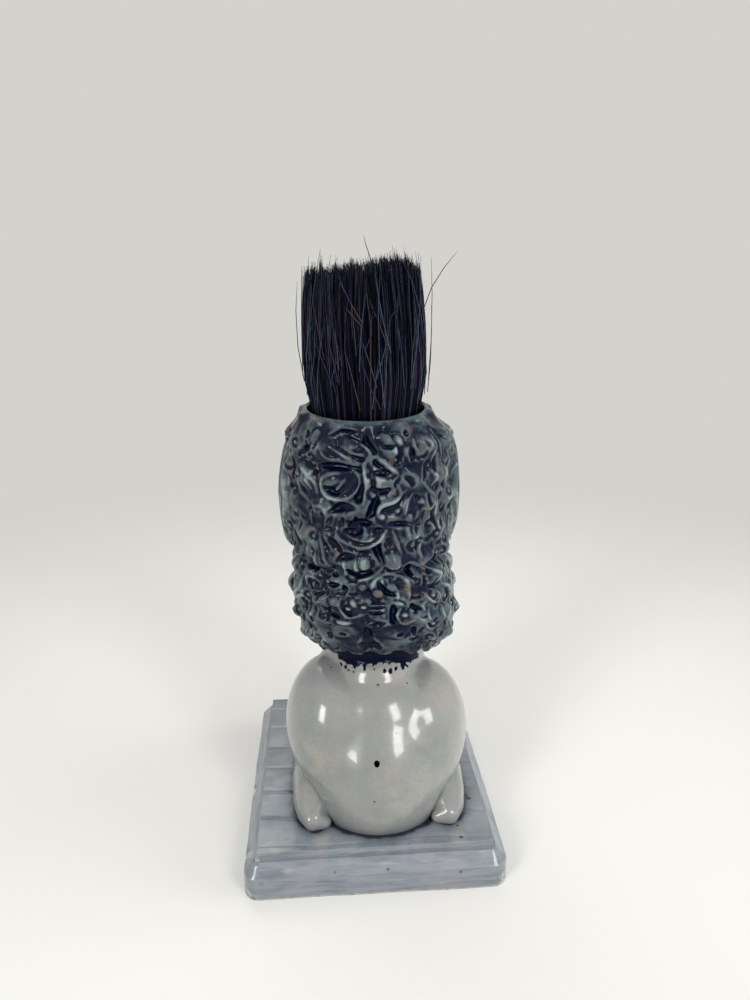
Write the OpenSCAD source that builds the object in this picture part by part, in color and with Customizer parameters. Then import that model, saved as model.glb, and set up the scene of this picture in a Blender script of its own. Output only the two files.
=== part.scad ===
// Pen holder in the shape of a sitting poodle, glazed, on a stepped plinth.
// A round brush of black hair stands in the crown of the head. Pens stand among its bristles.
// Millimetres. +Z is up, the dog faces -Y, and the origin is the middle of the plinth's underside.

/* [Plinth] */
// Width of the plinth across the figure
plinth_w = 64; // [60:0.5:76]
// Length of the plinth from nose to rump
plinth_l = 73; // [72:0.5:86]
// Height of the upright band round the foot of the plinth
band_h = 6.1; // [5:0.1:8]
// Height of the sloping bevel above the band
bevel_h = 2.7; // [1.5:0.1:4]
// How far the bevel leans in
bevel_in = 2.6; // [1.5:0.1:3.5]
// Height of the slab that the figure sits on
slab_h = 2.1; // [1.2:0.1:3]
// Step between the bevel and the slab
slab_in = 0.7; // [0.4:0.1:1.5]
// Radius of the plinth's upright corners
corner_r = 3.6; // [2:0.1:4.5]
// Depth of the hollow under the plinth
recess_h = 6.4; // [5:0.1:7]
// Distance between the grooves across the slab
groove_pitch = 9.6; // [8:0.1:14]
// Radius of a groove
groove_r = 0.4; // [0.2:0.05:0.6]
// Thickness of the fired wall
wall = 4; // [3:0.1:4.5]

/* [Body] */
// Sideways place of the body on the plinth
body_x = -1.8; // [-3:0.1:3]
// Half width of the body over the haunches
haunch_w = 23.6; // [21:0.1:25]
// Height of the haunches' centres above the slab
haunch_z = 18.3; // [16:0.1:21]
// Half length of a haunch
haunch_l = 16; // [13:0.1:18]
// Half height of a haunch
haunch_h = 17; // [14:0.1:19]
// Distance of the rump's back from the middle of the plinth
rump_y = 31; // [29:0.1:32]
// Half width of the rump
rump_w = 18.4; // [15:0.1:20]
// Half width of the back between the haunches
back_w = 19; // [15:0.1:21]
// Half width of the chest
chest_w = 14.5; // [12:0.1:16]
// Distance of the chest's front from the middle of the plinth
chest_y = 19.5; // [17:0.1:21]
// Height of the shoulders above the slab
shoulder_h = 37; // [34:0.1:40]
// Radius of the vent hole in the rump
vent_r = 0.65; // [0.5:0.05:1]
// Height of the vent hole above the slab
vent_h = 19.4; // [16:0.1:22]
// Sideways place of the vent hole from the body's middle
vent_x = 1.3; // [-3:0.1:3]

/* [Legs] */
// Distance from the body's middle to a foreleg's centre
foreleg_x = 7.6; // [6.5:0.1:9]
// Radius of a foreleg above the paw
foreleg_r = 4.2; // [3.5:0.1:5]
// Distance from the body's middle to a hind foot's centre
hind_x = 16.8; // [15:0.1:18]
// Half width of a hind foot
hind_r = 5.2; // [4.5:0.1:6.2]
// Distance of the paws' middle from the middle of the plinth
paw_y = 26.6; // [25:0.1:28]
// Height of the fullest part of a hind foot above the slab
hock_h = 10.4; // [8:0.1:11]
// Distance of the hocks' back from the middle of the plinth
hock_y = 27.2; // [26:0.1:28]
// Length of a hind foot
foot_l = 43.6; // [40:0.2:46]

/* [Neck and mane] */
// Radius of the neck
neck_r = 13.2; // [12:0.1:14]
// Sideways place of the neck and the mane
mane_x = -2; // [-3:0.1:3]
// Front to back place of the neck, the mane and the head
mane_y = -1.5; // [-4:0.1:2]
// Largest radius of the mane
mane_r = 21.6; // [19:0.1:23.5]
// Height of the mane's lower edge above the slab, at the sides
mane_low = 37.2; // [35:0.1:40]
// Slope of the mane's lower edge, from chest up to back
mane_tilt = 0.42; // [0:0.01:0.6]
// Height of the seam between the mane and the head above the slab
seam_h = 64.6; // [62:0.1:68]

/* [Curls] */
// Height of the curls in relief
curl_h = 1.5; // [0.5:0.1:2.5]
// Curls in one row
curl_count = 14; // [10:1:18]
// Height of one row of curls
curl_row = 7; // [6:0.5:9]
// Hollows between the curls in one row
hollow_count = 26; // [20:1:30]
// Height from one row of hollows to the next
hollow_row = 4.2; // [3.8:0.1:5]
// Length of a hollow
hollow_l = 3.4; // [2.4:0.1:4]
// Half width of a hollow
hollow_w = 0.95; // [0.6:0.05:1.1]
// Depth of a hollow
hollow_d = 1.25; // [0.5:0.05:1.5]

/* [Head] */
// Sideways place of the head
head_x = -0.8; // [-2:0.1:2]
// Largest half width of the head without the ears
head_w = 21; // [19:0.1:23]
// Largest half depth of the head
head_d = 18.6; // [17:0.1:20]
// Height of the head from the seam to the rim of the socket
head_h = 37; // [34:0.1:42]
// Half width of the head over the ears
ear_w = 22.9; // [21.5:0.1:25]
// Half breadth of an ear, front to back
ear_b = 9.2; // [7:0.1:11]
// How far the nose reaches in front of the head's middle
muzzle_reach = 32.5; // [30:0.1:33.5]
// Length of the muzzle, with the part of the face behind it
muzzle_l = 20; // [18:0.1:21]
// Height of the muzzle above the seam
muzzle_z = 13; // [11:0.1:15]
// Half width of the muzzle behind the nose
muzzle_r = 4.8; // [4:0.1:6]
// Radius of an eye
eye_r = 1.5; // [1:0.1:2]
// Distance of the eyes behind the tip of the muzzle
eye_y = 11; // [9:0.1:13]
// Height of the eyes above the seam
eye_z = 20.6; // [19:0.1:22]
// Radius of the nose
nose_r = 2.3; // [1.8:0.1:3]
// Height of the nose above the seam
nose_z = 14.2; // [12:0.1:16]

/* [Socket and brush] */
// Sideways place of the socket and the brush
brush_x = 0; // [-1:0.1:1]
// Radius of the socket in the crown
socket_r = 14.3; // [13.5:0.1:15]
// Width of the rim round the socket
rim_w = 1.1; // [0.8:0.1:2]
// Depth of the socket
socket_d = 16; // [14:0.5:18]
// Gap between the brush and the socket, all round
brush_gap = 0.35; // [0.3:0.05:0.6]
// Height of the wooden plug under the bristles
plug_h = 9; // [8:0.5:11]
// Wall of the plug round the roots of the bristles
plug_wall = 1.5; // [1:0.1:2]
// Thickness of the pitch under the roots
pitch_h = 2; // [1.5:0.1:3]
// Thickness of the slice of pitched roots
root_h = 2.5; // [2:0.1:3]
// Height of the binding above the plug
binding_h = 2; // [1.5:0.1:3]
// Height of the bristles above the rim
tuft_h = 32.6; // [28:0.2:40]
// Radius of the tuft at its tips
tuft_r = 14.2; // [13.5:0.1:16]
// Number of bristles
bristles = 330; // [300:10:500]
// Radius of a bristle
bristle_r = 0.4; // [0.3:0.02:0.45]
// How unevenly the tips are cut
tip_spread = 2.4; // [0:0.1:4]

/* [Hidden] */
glaze_grey = [0.62, 0.63, 0.6];
glaze_blue = [0.55, 0.59, 0.62];
glaze_black = [0.1, 0.13, 0.16];
hair_black = [0.03, 0.03, 0.05];
slab_z = band_h + bevel_h + slab_h; // top of the plinth
seam_z = slab_z + seam_h; // flat seam between mane and head
rim_z = seam_z + head_h; // rim of the socket
socket_z = rim_z - socket_d; // floor of the socket
plug_z = socket_z + brush_gap; // underside of the plug
plug_r = socket_r - brush_gap;
root_r = plug_r - plug_wall;
plug_top = plug_z + plug_h;
root_z = plug_top - root_h; // underside of the pitched roots
over = 1; // how far a cutter passes the face that it cuts
body_n = 40; // points round the body
curl_n = 4 * curl_count; // points round the curls
back_from = 12; // bearings between which the back's own hollows lie
back_to = 168;
// Hollows of the back: bearing, height, length, half width, lean, bow and whether it is a drop
mane_back = [
    [141, 74, 3.4, 0.75, -32, 0, false], [96, 70.4, 6.2, 0.85, -52, 0.9, false], [59, 71.6, 4.1, 0.85, 0, 0.6, false],
    [39, 71, 3.6, 0.7, -40, 0.4, false], [67, 63.6, 6.4, 0.75, -62, 0.7, false], [57, 61.3, 4.5, 0.8, -25, 0.5, false],
    [116, 63.1, 3.6, 0.9, -40, 0.5, false], [51, 53.4, 2.6, 0.8, -46, 0, false], [87, 58.1, 3.4, 0.9, 20, 0.3, false],
    [125, 71, 3.1, 0.7, 90, 0.4, false], [48, 67.6, 3.8, 0.65, 14, 0.4, false], [115, 74, 3.6, 0.8, -75, 0.3, true],
    [33, 62.3, 3.5, 0.75, -75, 0.2, true], [99, 61.9, 6.3, 1.1, 88, 0.2, true], [30, 54, 4.5, 0.7, -80, 0, true],
    [113, 54.2, 3.4, 0.65, 103, 0, false], [128, 55.3, 4, 0.65, -26, 0.4, false], [133, 62.8, 2.5, 0.6, 90, 0, false],
    [148, 64.7, 3.5, 0.65, 105, 0, false], [160, 71.8, 2.6, 0.6, 100, 0, false], [144, 55.8, 2.8, 0.6, 102, 0, false],
    [22, 65.9, 2.9, 0.65, 70, 0, false], [76, 54, 3.6, 0.65, 62, 0.3, false], [68, 70.3, 2.3, 0.6, 95, 0, false]
];
head_back = [
    [40, 104, 4.2, 0.8, 25, -0.5, false], [88, 107, 5.6, 0.85, -72, 0.6, false], [106, 105.5, 6, 0.8, 92, 0.4, false],
    [69, 107.4, 4.5, 0.6, 15, -0.5, false], [62, 96.2, 6.6, 1.25, 16, 1, false], [81, 96.6, 5.8, 1.1, 83, 0.5, true],
    [95, 100, 4.8, 0.8, 4, 0.4, false], [94, 96, 4.6, 0.85, -8, 0.8, false], [112, 97.4, 3, 0.65, -50, -0.4, false],
    [89, 91.4, 5.2, 1.2, 66, 0.3, false], [69, 90.8, 6.2, 1.15, 14, -0.6, false], [81, 86.8, 5.2, 1.1, 8, -0.4, false],
    [56, 82.1, 3.5, 0.7, -62, 0.2, false], [70, 79, 4.8, 1, 20, -0.3, false], [36, 94.6, 5.3, 1.15, -37, 0.5, true],
    [103, 92.6, 7, 1.15, 46, 0.7, true], [136, 86.9, 6, 0.75, -76, 0.2, true], [65, 82, 3.4, 1.1, -63, 0, true],
    [93, 80.8, 6, 1.1, -80, 0.3, true], [133, 100.5, 3.7, 0.6, 90, 0.3, false], [124, 98.5, 3.8, 0.6, 80, 0.4, false],
    [145, 95.2, 3.2, 0.6, 118, 0, false], [120, 92, 3.4, 0.6, 110, 0.4, false], [130, 91.6, 3.6, 0.6, 108, -0.4, false],
    [107, 87.1, 5, 0.65, -6, 0, false], [49, 98.6, 3.6, 0.65, -68, 0.2, false], [26, 98.6, 4.6, 0.7, 90, 0.4, false],
    [47, 90.3, 2, 0.65, 90, 0, false], [120, 81, 3.2, 0.6, 40, 0.4, false], [43, 84, 3, 0.65, 110, 0.2, false]
];
limb_n = 16; // points round a limb
limb_rings = 13;

// Curve through the points p, at t from 0 to 1
function spline(p, t) =
    let (n = len(p) - 1, i = min(floor(t * n), n - 1), f = t * n - i,
        a = p[max(i - 1, 0)], b = p[i], c = p[i + 1], d = p[min(i + 2, n)])
    b + 0.5 * f * (c - a + f * (2 * a - 5 * b + 4 * c - d + f * (3 * b - a - 3 * c + d)));

// Distance along a level bearing from the point o to the skin of an ellipsoid m = [centre, half axes]
function reach(m, o, bearing) =
    let (k = 1 - pow((o[2] - m[0][2]) / m[1][2], 2),
        px = (o[0] - m[0][0]) / m[1][0], py = (o[1] - m[0][1]) / m[1][1],
        qx = cos(bearing) / m[1][0], qy = sin(bearing) / m[1][1],
        a = qx * qx + qy * qy, b = px * qx + py * qy, disc = b * b - a * (px * px + py * py - k))
    disc < 0 ? 0 : max(0, (sqrt(disc) - b) / a);

// Largest of a list of lengths, with the joins between them melted together
function melt(v, sharpness) = pow(sum_of([for (x = v) pow(x, sharpness)]), 1 / sharpness);
function sum_of(v, i = 0) = i < len(v) ? v[i] + sum_of(v, i + 1) : 0;

// Closed skin through rings that run anticlockwise and climb
module skin(rings) {
    n = len(rings[0]);
    m = len(rings);
    low = m * n;
    polyhedron(
        points = concat([for (r = rings) each r], [sum_points(rings[0]) / n, sum_points(rings[m - 1]) / n]),
        faces = concat(
            [for (j = [0:n - 1]) [j, (j + 1) % n, low]],
            [for (i = [0:m - 2], j = [0:n - 1]) let (a = i * n + j, b = i * n + (j + 1) % n)
                each [[a, a + n, b], [b, a + n, b + n]]],
            [for (j = [0:n - 1]) [low - n + (j + 1) % n, low - n + j, low + 1]]
        )
    );
}
function sum_points(v, i = 0) = i < len(v) - 1 ? v[i] + sum_points(v, i + 1) : v[i];

// Limb through stations [height, x, y, half width, half depth]
module limb(stations) {
    skin([for (i = [0:limb_rings]) let (s = spline(stations, i / limb_rings))
        [for (j = [0:limb_n - 1]) let (t = 360 * j / limb_n)
            [s[1] + s[3] * cos(t), s[2] + s[4] * sin(t), s[0]]]]);
}

// Ring of a rectangle with round corners
function slab_ring(w, l, r, z) = [for (c = [0:3], s = [0:5])
    let (t = 90 * c + 18 * s, x = (c == 0 || c == 3) ? 1 : -1, y = c < 2 ? 1 : -1)
    [x * (w / 2 - r) + r * cos(t), y * (l / 2 - r) + r * sin(t), z]];

module plinth() {
    soft = 0.5; // rounding of the plinth's edges
    top_in = bevel_in + slab_in;
    color(glaze_blue) difference() {
        skin([for (s = [
            [0, soft / 2], [soft, 0], [band_h - soft, 0], [band_h, soft / 2], [band_h + bevel_h, bevel_in],
            [band_h + bevel_h, top_in], [slab_z - soft, top_in], [slab_z, top_in + soft]
        ]) slab_ring(plinth_w - 2 * s[1], plinth_l - 2 * s[1], corner_r - s[1] / 2, s[0])]);
        translate([0, 0, -over]) linear_extrude(recess_h + over)
            square([plinth_w - 2 * wall, plinth_l - 2 * wall], center = true);
        for (i = [-3:3]) translate([0, i * groove_pitch + groove_pitch / 4, slab_z + groove_r / 3])
            rotate([0, 90, 0]) cylinder(h = plinth_w, r = groove_r, center = true, $fn = 24);
    }
}

// Masses of the body, as [centre, half axes], that melt into one skin
function masses() =
    let (hx = haunch_w / 2, rl = 18, sz = slab_z + shoulder_h)
    [
        [[body_x + hx, 6.5, slab_z + haunch_z + 1], [hx, haunch_l, haunch_h]],
        [[body_x - hx, 6.5, slab_z + haunch_z - 1.4], [hx, haunch_l, haunch_h]],
        [[body_x, rump_y - rl, slab_z + 7.6], [rump_w, rl, 19]],
        [[body_x, 6, sz - 19], [back_w, 19, 19]],
        [[body_x, 11.5 - chest_y, sz - 16], [chest_w, 11.5, 17]]
    ];

// Skin of the body, let in by a thickness
module body_skin(inset = 0, n = body_n, rings = 20) {
    low = slab_z;
    high = slab_z + shoulder_h - 0.5 - inset;
    skin([for (i = [0:rings]) let (
        z = low + (high - low) * sin(90 * i / rings),
        o = [body_x, lookup(z, [[low, 11], [slab_z + shoulder_h / 2, 7], [high, 0]]), z])
        [for (j = [0:n - 1]) let (t = 360 * j / n, r = melt([for (m = masses()) reach(m, o, t)], 9))
            [o[0] + max(r - inset, 1) * cos(t), o[1] + max(r - inset, 1) * sin(t), z]]]);
}

// Neck, which runs up through the mane
module neck(r, from, to) {
    translate([mane_x, mane_y, from]) cylinder(h = to - from, r = r, $fn = 72);
}

module body() {
    color(glaze_grey) difference() {
        union() {
            body_skin();
            neck(neck_r, slab_z + shoulder_h / 2, seam_z);
        }
        translate([0, 0, -0.01]) body_skin(wall, 24, 10);
        neck(neck_r - wall, slab_z + shoulder_h / 2, seam_z + over);
        translate([body_x + vent_x, rump_y + over, slab_z + vent_h]) rotate([90, 0, 0])
            cylinder(h = 3 * wall, r = vent_r, $fn = 24);
    }
}

// Relief of the curls on a bearing t at a height z
function curl(t, z) =
    let (v = z / curl_row, u = t * curl_count / 360 + (floor(v) % 2) / 2)
    curl_h * ((0.5 + 0.5 * cos(360 * u)) * (0.5 - 0.5 * cos(360 * v)) - 0.4);

// Stations of the mane: radius, height share and tilt share
mane_stations = [
    [neck_r - 1, 0.1, 1], [mane_r - 5.6, 0, 1], [mane_r - 2.6, 0.06, 0.9], [mane_r - 0.4, 0.22, 0.7],
    [mane_r, 0.42, 0.5], [mane_r - 0.4, 0.65, 0.3], [mane_r - 1.3, 0.87, 0.1], [mane_r - 2.6, 1, 0]
];
mane_z = slab_z + mane_low;
mane_h = seam_z - mane_z;

// Stations of the head: half width, height share and half depth
rim_r = socket_r + rim_w;
head_stations = [
    [head_w - 2.4, 0, head_d - 1.6], [head_w - 1, 0.06, head_d - 0.6], [head_w - 0.3, 0.2, head_d],
    [head_w, 0.4, head_d], [head_w - 0.1, 0.6, head_d], [head_w - 0.9, 0.76, head_d - 0.3],
    [head_w - 2.4, 0.88, head_d - 0.9], [rim_r + 1.6, 0.96, rim_r + 1.2], [rim_r, 1, rim_r]
];

// Point of the mane's skin on a bearing t, at a share u of the way up, raised by h
function mane_point(u, t, h = 0) = let (s = spline(mane_stations, u), r = s[0] + h, y = r * sin(t))
    [mane_x + r * cos(t), mane_y + y, mane_z + mane_h * s[1] + s[2] * mane_tilt * y];

// Point of the head's skin in the same way
function head_point(u, t, h = 0) = let (s = spline(head_stations, u), x = head_x + (brush_x - head_x) * pow(u, 3))
    [x + (s[0] + h) * cos(t), mane_y + (s[2] + h) * sin(t), seam_z + head_h * s[1]];

// Height above the mane's lower edge, and above the seam, at a share u of the way up
function mane_rise(u) = mane_h * spline(mane_stations, u)[1];
function head_rise(u) = head_h * spline(head_stations, u)[1];

// Skin of the mane, whose lower edge climbs from the chest to the back
module mane_skin() {
    rings = 16;
    skin([for (i = [0:rings]) let (u = i / rings, fade = min(1, 3 * min(u, 1 - u)))
        [for (j = [0:curl_n - 1]) let (t = 360 * j / curl_n) mane_point(u, t, fade * curl(t, mane_rise(u)))]]);
}

// Skin of the head with its topknot, without ears or face
module head_skin() {
    rings = 20;
    skin([for (i = [0:rings]) let (u = i / rings, fade = min(1, 4 * min(u / 2, 1 - u)))
        [for (j = [0:curl_n - 1]) let (t = 360 * j / curl_n) head_point(u, t, fade * curl(t, head_rise(u) + 2))]]);
}

// Outline of a hollow drawn in by a share: tips left and right, shoulders of half width a and b, bowed by bow
function hollow_ring(share, length, a, b, bow, z) =
    [for (p = [[-0.5, 0], [-0.25, -a], [0.25, -b], [0.5, 0], [0.25, b], [-0.25, a]])
        let (x = share * p[0]) [length * x, share * p[1] - bow * (1 - 4 * x * x), z]];

// Cutter for a hollow in a frame of three unit vectors at the point p; a drop has one fat end
module hollow_cutter(p, frame, length, width, lean, bow, drop) {
    a = drop ? width : 0.85 * width;
    b = drop ? 0.6 * width : 0.85 * width;
    multmatrix([for (k = [0:2]) [frame[0][k], frame[1][k], frame[2][k], p[k]]])
        rotate(lean) skin([
            hollow_ring(0.55, length + width, a, b, bow, -hollow_d),
            hollow_ring(1, length + width, a, b, bow, 0),
            hollow_ring(1.3, length + width, a, b, bow, over)
        ]);
}

// Frame on a skin: round it, up it and out of it
function unit(v) = v / norm(v);
function frame_of(round, up) = [unit(round), unit(up - unit(round) * (up * unit(round))), unit(cross(round, up))];

// Hollow in the mane or the head at a bearing and a height on the upright middle of the skin
module mane_hollow(t, z, length, width, lean, bow, drop = false) {
    step = 0.02;
    u = lookup(z - mane_z, [for (i = [8:40]) [mane_rise(i / 40), i / 40]]);
    frame = frame_of(mane_point(u, t + 1) - mane_point(u, t - 1), mane_point(min(1, u + step), t) - mane_point(u - step, t));
    hollow_cutter(mane_point(u, t, curl(t, z - mane_z)), frame, length, width, lean, bow, drop);
}
module head_hollow(t, z, length, width, lean, bow, drop = false) {
    step = 0.02;
    u = lookup(z - seam_z, [for (i = [0:40]) [head_rise(i / 40), i / 40]]);
    frame = frame_of(head_point(u, t + 1) - head_point(u, t - 1), head_point(min(1, u + step), t) - head_point(u - step, t));
    hollow_cutter(head_point(u, t, curl(t, z - seam_z + 2)), frame, length, width, lean, bow, drop);
}

// Unevenness from -1 to 1 that differs with the row, the column and the turn
function wave(row, column, turn) = sin(137 * column + 61 * row + 97 * turn);

// Rows of hollows round the sides and the front, as [bearing, height, length, half width, lean, bow, drop];
// side is -1 for rows down from the seam and 1 for rows up from it
function hollow_rows(rows, side) = [for (row = [0:rows - 1], column = [0:hollow_count - 1])
    let (t = 360 * (column + 0.5 * (row % 2) + 0.18 * wave(row, column, 1)) / hollow_count)
    if (t < back_from || t > back_to)
        [t, seam_z + side * hollow_row * (row + 1) + 0.7 * wave(row, column, 2), hollow_l + 0.9 * wave(row, column, 4),
            hollow_w + 0.2 * wave(row, column, 5), 90 + 45 * wave(row, column, 3), 0.6 * wave(row, column, 6),
            (row + column) % 2 == 0]];

// Whether a place on the head lies under an ear or the face
function is_covered(t, z) =
    let (low = z < seam_z + 31, face = t > 236 && t < 304 && z > seam_z + 5 && z < seam_z + 27)
    low && (t < 24 || t > 331 || (t > 156 && t < 209)) || face;

module mane() {
    color(glaze_black) difference() {
        mane_skin();
        neck(neck_r, slab_z, seam_z + over);
        body_skin();
        for (h = concat(hollow_rows(6, -1), mane_back)) mane_hollow(h[0], h[1], h[2], h[3], h[4], h[5], h[6]);
    }
}

module head() {
    mouth = neck_r - wall; // the hollow opens into the neck
    dome = head_d - 1.5 * wall;
    hollow = head_h - socket_d - wall;
    color(glaze_black) difference() {
        head_skin();
        translate([brush_x, mane_y, socket_z]) cylinder(h = socket_d + over, r = socket_r, $fn = 96);
        translate([mane_x, mane_y, seam_z]) rotate_extrude($fn = 72) polygon([
            [0, -over], [mouth, -over], [mouth, 0.4 * wall], [dome, wall], [dome, hollow - wall],
            [mouth, hollow], [0, hollow]
        ]);
        for (h = concat(hollow_rows(7, 1), head_back)) if (!is_covered(h[0], h[1]))
            head_hollow(h[0], h[1], h[2], h[3], h[4], h[5], h[6]);
    }
}

module ear(side) {
    x = ear_w - 3.4;
    color(glaze_black) difference() {
        translate([head_x, mane_y - 2.5, seam_z]) limb([
            [0.4, side * (x - 0.6), 0, 1.2, ear_b / 4], [2, side * (x - 0.4), 0, 2.6, ear_b * 0.7],
            [7, side * x, 0, 3.3, ear_b], [15, side * x, 0, 3.4, ear_b], [23, side * (x - 0.3), 0, 3.2, ear_b * 0.85],
            [28, side * (x - 1.2), 0, 2.6, ear_b * 0.6], [30, side * (x - 2), 0, 1.2, ear_b / 4]
        ]);
        head_skin();
    }
}
module left_ear() { ear(1); }
module right_ear() { ear(-1); }

// Face and muzzle, before the head is cut out of it
module muzzle_skin() {
    // distance behind the tip as a share of the length, rise, half width and half height as shares of the radius
    stations = [
        [1, 0.73, 2.1, 2], [0.75, 0.62, 2, 1.9], [0.6, 0.42, 1.6, 1.5], [0.45, 0.17, 1.2, 1.15],
        [0.25, 0, 1, 0.95], [0.075, -0.08, 0.9, 0.85], [0, -0.08, 0.5, 0.45]
    ];
    translate([head_x, mane_y, 0]) rotate([90, 0, 0]) limb([for (s = stations)
        [muzzle_reach - muzzle_l * s[0], 0, seam_z + muzzle_z + muzzle_r * s[1], muzzle_r * s[2], muzzle_r * s[3]]]);
}
module muzzle() {
    color(glaze_grey) difference() {
        muzzle_skin();
        head_skin();
    }
}
module nose() {
    color(glaze_black) difference() {
        translate([head_x, mane_y - muzzle_reach + 0.4, seam_z + nose_z]) sphere(r = nose_r, $fn = 32);
        muzzle_skin();
    }
}
module eye(side) {
    color(glaze_black) difference() {
        translate([head_x + side * muzzle_r * 0.95, mane_y - muzzle_reach + eye_y, seam_z + eye_z])
            sphere(r = eye_r, $fn = 32);
        muzzle_skin();
        head_skin();
    }
}
module left_eye() { eye(1); }
module right_eye() { eye(-1); }

module foreleg(side) {
    // height as a share of the shoulders', distance forward as a share of the paw's, half width and half depth
    stations = [
        [0, 1, 1.17, 1.52], [0.07, 1, 1.19, 1.52], [0.15, 0.95, 1.05, 1.19], [0.24, 0.89, 1, 1],
        [0.49, 0.81, 1.05, 1.12], [0.73, 0.71, 1.14, 1.33], [0.92, 0.58, 1.24, 1.57]
    ];
    color(glaze_grey) difference() {
        translate([body_x + side * foreleg_x, 0, slab_z]) limb([for (s = stations)
            [shoulder_h * s[0], 0, -paw_y * s[1], foreleg_r * s[2], foreleg_r * s[3]]]);
        body_skin();
        mane_skin();
    }
}
module left_foreleg() { foreleg(1); }
module right_foreleg() { foreleg(-1); }

module hind_foot(side) {
    low = 0.25 * hock_h; // height of the foot's middle above the slab
    // share of the length from the hock, shift outward as a share of the half width, half width, half height
    stations = [
        [0, -0.1, 0.15, 0.12], [0.03, 0, 0.42, 0.28], [0.09, 0.04, 0.73, 0.44], [0.2, 0.1, 0.93, 0.64],
        [0.36, 0.16, 1, 0.75], [0.53, 0.12, 1, 0.54], [0.74, 0.04, 0.96, 0.42], [0.88, 0, 1.05, 0.45],
        [0.97, -0.04, 0.8, 0.33], [1, -0.04, 0.4, 0.16]
    ];
    color(glaze_grey) difference() {
        rotate([90, 0, 0]) limb([for (s = stations) [foot_l * s[0] - hock_y,
            body_x + side * (hind_x + hind_r * s[1]), slab_z + low, hind_r * s[2], hock_h * s[3]]]);
        body_skin();
        translate([-plinth_w / 2, -plinth_l / 2, 0]) cube([plinth_w, plinth_l, slab_z]);
    }
}
module left_hind_foot() { hind_foot(1); }
module right_hind_foot() { hind_foot(-1); }

// Turned plug that carries the bristles and stands in the socket
module brush_plug() {
    color("peru") translate([brush_x, mane_y, plug_z]) difference() {
        cylinder(h = plug_h, r = plug_r, $fn = 96);
        translate([0, 0, plug_h - root_h - pitch_h]) cylinder(h = plug_h, r = root_r, $fn = 96);
    }
}

// Pitch that glues the roots into the plug
module pitch_fill() {
    color(hair_black) translate([brush_x, mane_y, root_z - pitch_h]) cylinder(h = pitch_h, r = root_r, $fn = 96);
}

// Binding round the bristles, just above the plug
module binding_cord() {
    inner = tuft_spread(plug_top + binding_h) + 0.1;
    color("dimgray") translate([brush_x, mane_y, plug_top])
        rotate_extrude($fn = 96) translate([inner, 0]) square([plug_r - inner, binding_h]);
}

// Outer radius of the tuft at a height: gathered in the plug, wider at the rim and the tips
function tuft_spread(z) =
    lookup(z, [[plug_top, root_r], [rim_z, socket_r - 2 * brush_gap], [rim_z + tuft_h, tuft_r]]);

// Middle of bristle number i, as a share of the tuft's radius, in a sunflower pattern
function seed(i) = let (share = sqrt((i + 0.5) / bristles), turn = i * 137.508)
    [share * cos(turn), share * sin(turn)];

// Every level holds the same pattern, only wider, so that no bristles cross
module bristle_tuft() {
    sunk = 0.5; // how deep a bristle starts in the slice of roots
    rows = [plug_top - sunk, rim_z, rim_z + tuft_h];
    uneven = rands(-0.5, 0.5, bristles, 7);
    nearest = min([for (i = [0:bristles - 1], k = [1, 2, 3, 5, 8, 13, 21, 34, 55]) if (i + k < bristles)
        norm(seed(i + k) - seed(i))]);
    echo(least_gap_between_bristles = nearest * (root_r - bristle_r) - 2 * bristle_r);
    color(hair_black) resize([0, 0, 0]) {
        translate([brush_x, mane_y, root_z]) cylinder(h = root_h, r = root_r, $fn = 48);
        for (i = [0:bristles - 1]) {
            skin([for (k = [0:2]) let (
                m = seed(i) * (tuft_spread(rows[k]) - bristle_r - (k == 0 ? 0.1 : 0)),
                z = rows[k] + (k == 2 ? tip_spread * (uneven[i] - m[0] / (2 * tuft_r)) : 0))
                [for (t = [0:120:240]) [brush_x + m[0] + bristle_r * cos(t), mane_y + m[1] + bristle_r * sin(t), z]]]);
        }
    }
}

plinth();
body();
left_foreleg();
right_foreleg();
left_hind_foot();
right_hind_foot();
mane();
head();
left_ear();
right_ear();
muzzle();
nose();
left_eye();
right_eye();
brush_plug();
pitch_fill();
binding_cord();
bristle_tuft();
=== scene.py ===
import math

import bmesh
import bpy
import numpy as np
from mathutils import Euler, Matrix, Vector, noise
from mathutils.bvhtree import BVHTree


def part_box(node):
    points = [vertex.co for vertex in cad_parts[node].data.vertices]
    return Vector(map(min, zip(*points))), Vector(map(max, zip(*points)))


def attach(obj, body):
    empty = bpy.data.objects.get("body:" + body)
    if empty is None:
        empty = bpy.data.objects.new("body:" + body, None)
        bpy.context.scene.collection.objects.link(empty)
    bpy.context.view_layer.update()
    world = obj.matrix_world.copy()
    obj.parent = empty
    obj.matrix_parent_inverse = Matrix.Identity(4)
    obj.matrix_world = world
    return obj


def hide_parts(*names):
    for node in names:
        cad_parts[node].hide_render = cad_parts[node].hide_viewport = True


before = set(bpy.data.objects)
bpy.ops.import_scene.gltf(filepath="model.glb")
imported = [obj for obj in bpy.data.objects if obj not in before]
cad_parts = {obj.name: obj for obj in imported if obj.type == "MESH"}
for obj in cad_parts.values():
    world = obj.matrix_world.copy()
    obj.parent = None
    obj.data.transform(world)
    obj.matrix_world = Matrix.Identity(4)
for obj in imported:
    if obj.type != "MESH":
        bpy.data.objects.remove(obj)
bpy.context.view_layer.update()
mm = 0.001  # every size below is in millimetres
dice = np.random.default_rng(7)
noise.seed_set(7)  # so that the plinth's unevenness is the same each run


def boxOf(name):
    # lower and upper corner of a solid
    return [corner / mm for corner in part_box(name)]


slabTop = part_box("plinth")[1].z / mm
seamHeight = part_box("mane")[1].z / mm
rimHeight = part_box("head")[1].z / mm
plugLow, plugHigh = boxOf("brush_plug")
brushX = (plugLow.x + plugHigh.x) / 2
brushY = (plugLow.y + plugHigh.y) / 2
plugRadius = (plugHigh.x - plugLow.x) / 2
bodyX = -1.8  # the figure sits a little beside the middle of its plinth
sides = (("left", 1), ("right", -1))
print("frame loaded:", len(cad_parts), "nodes")


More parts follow.
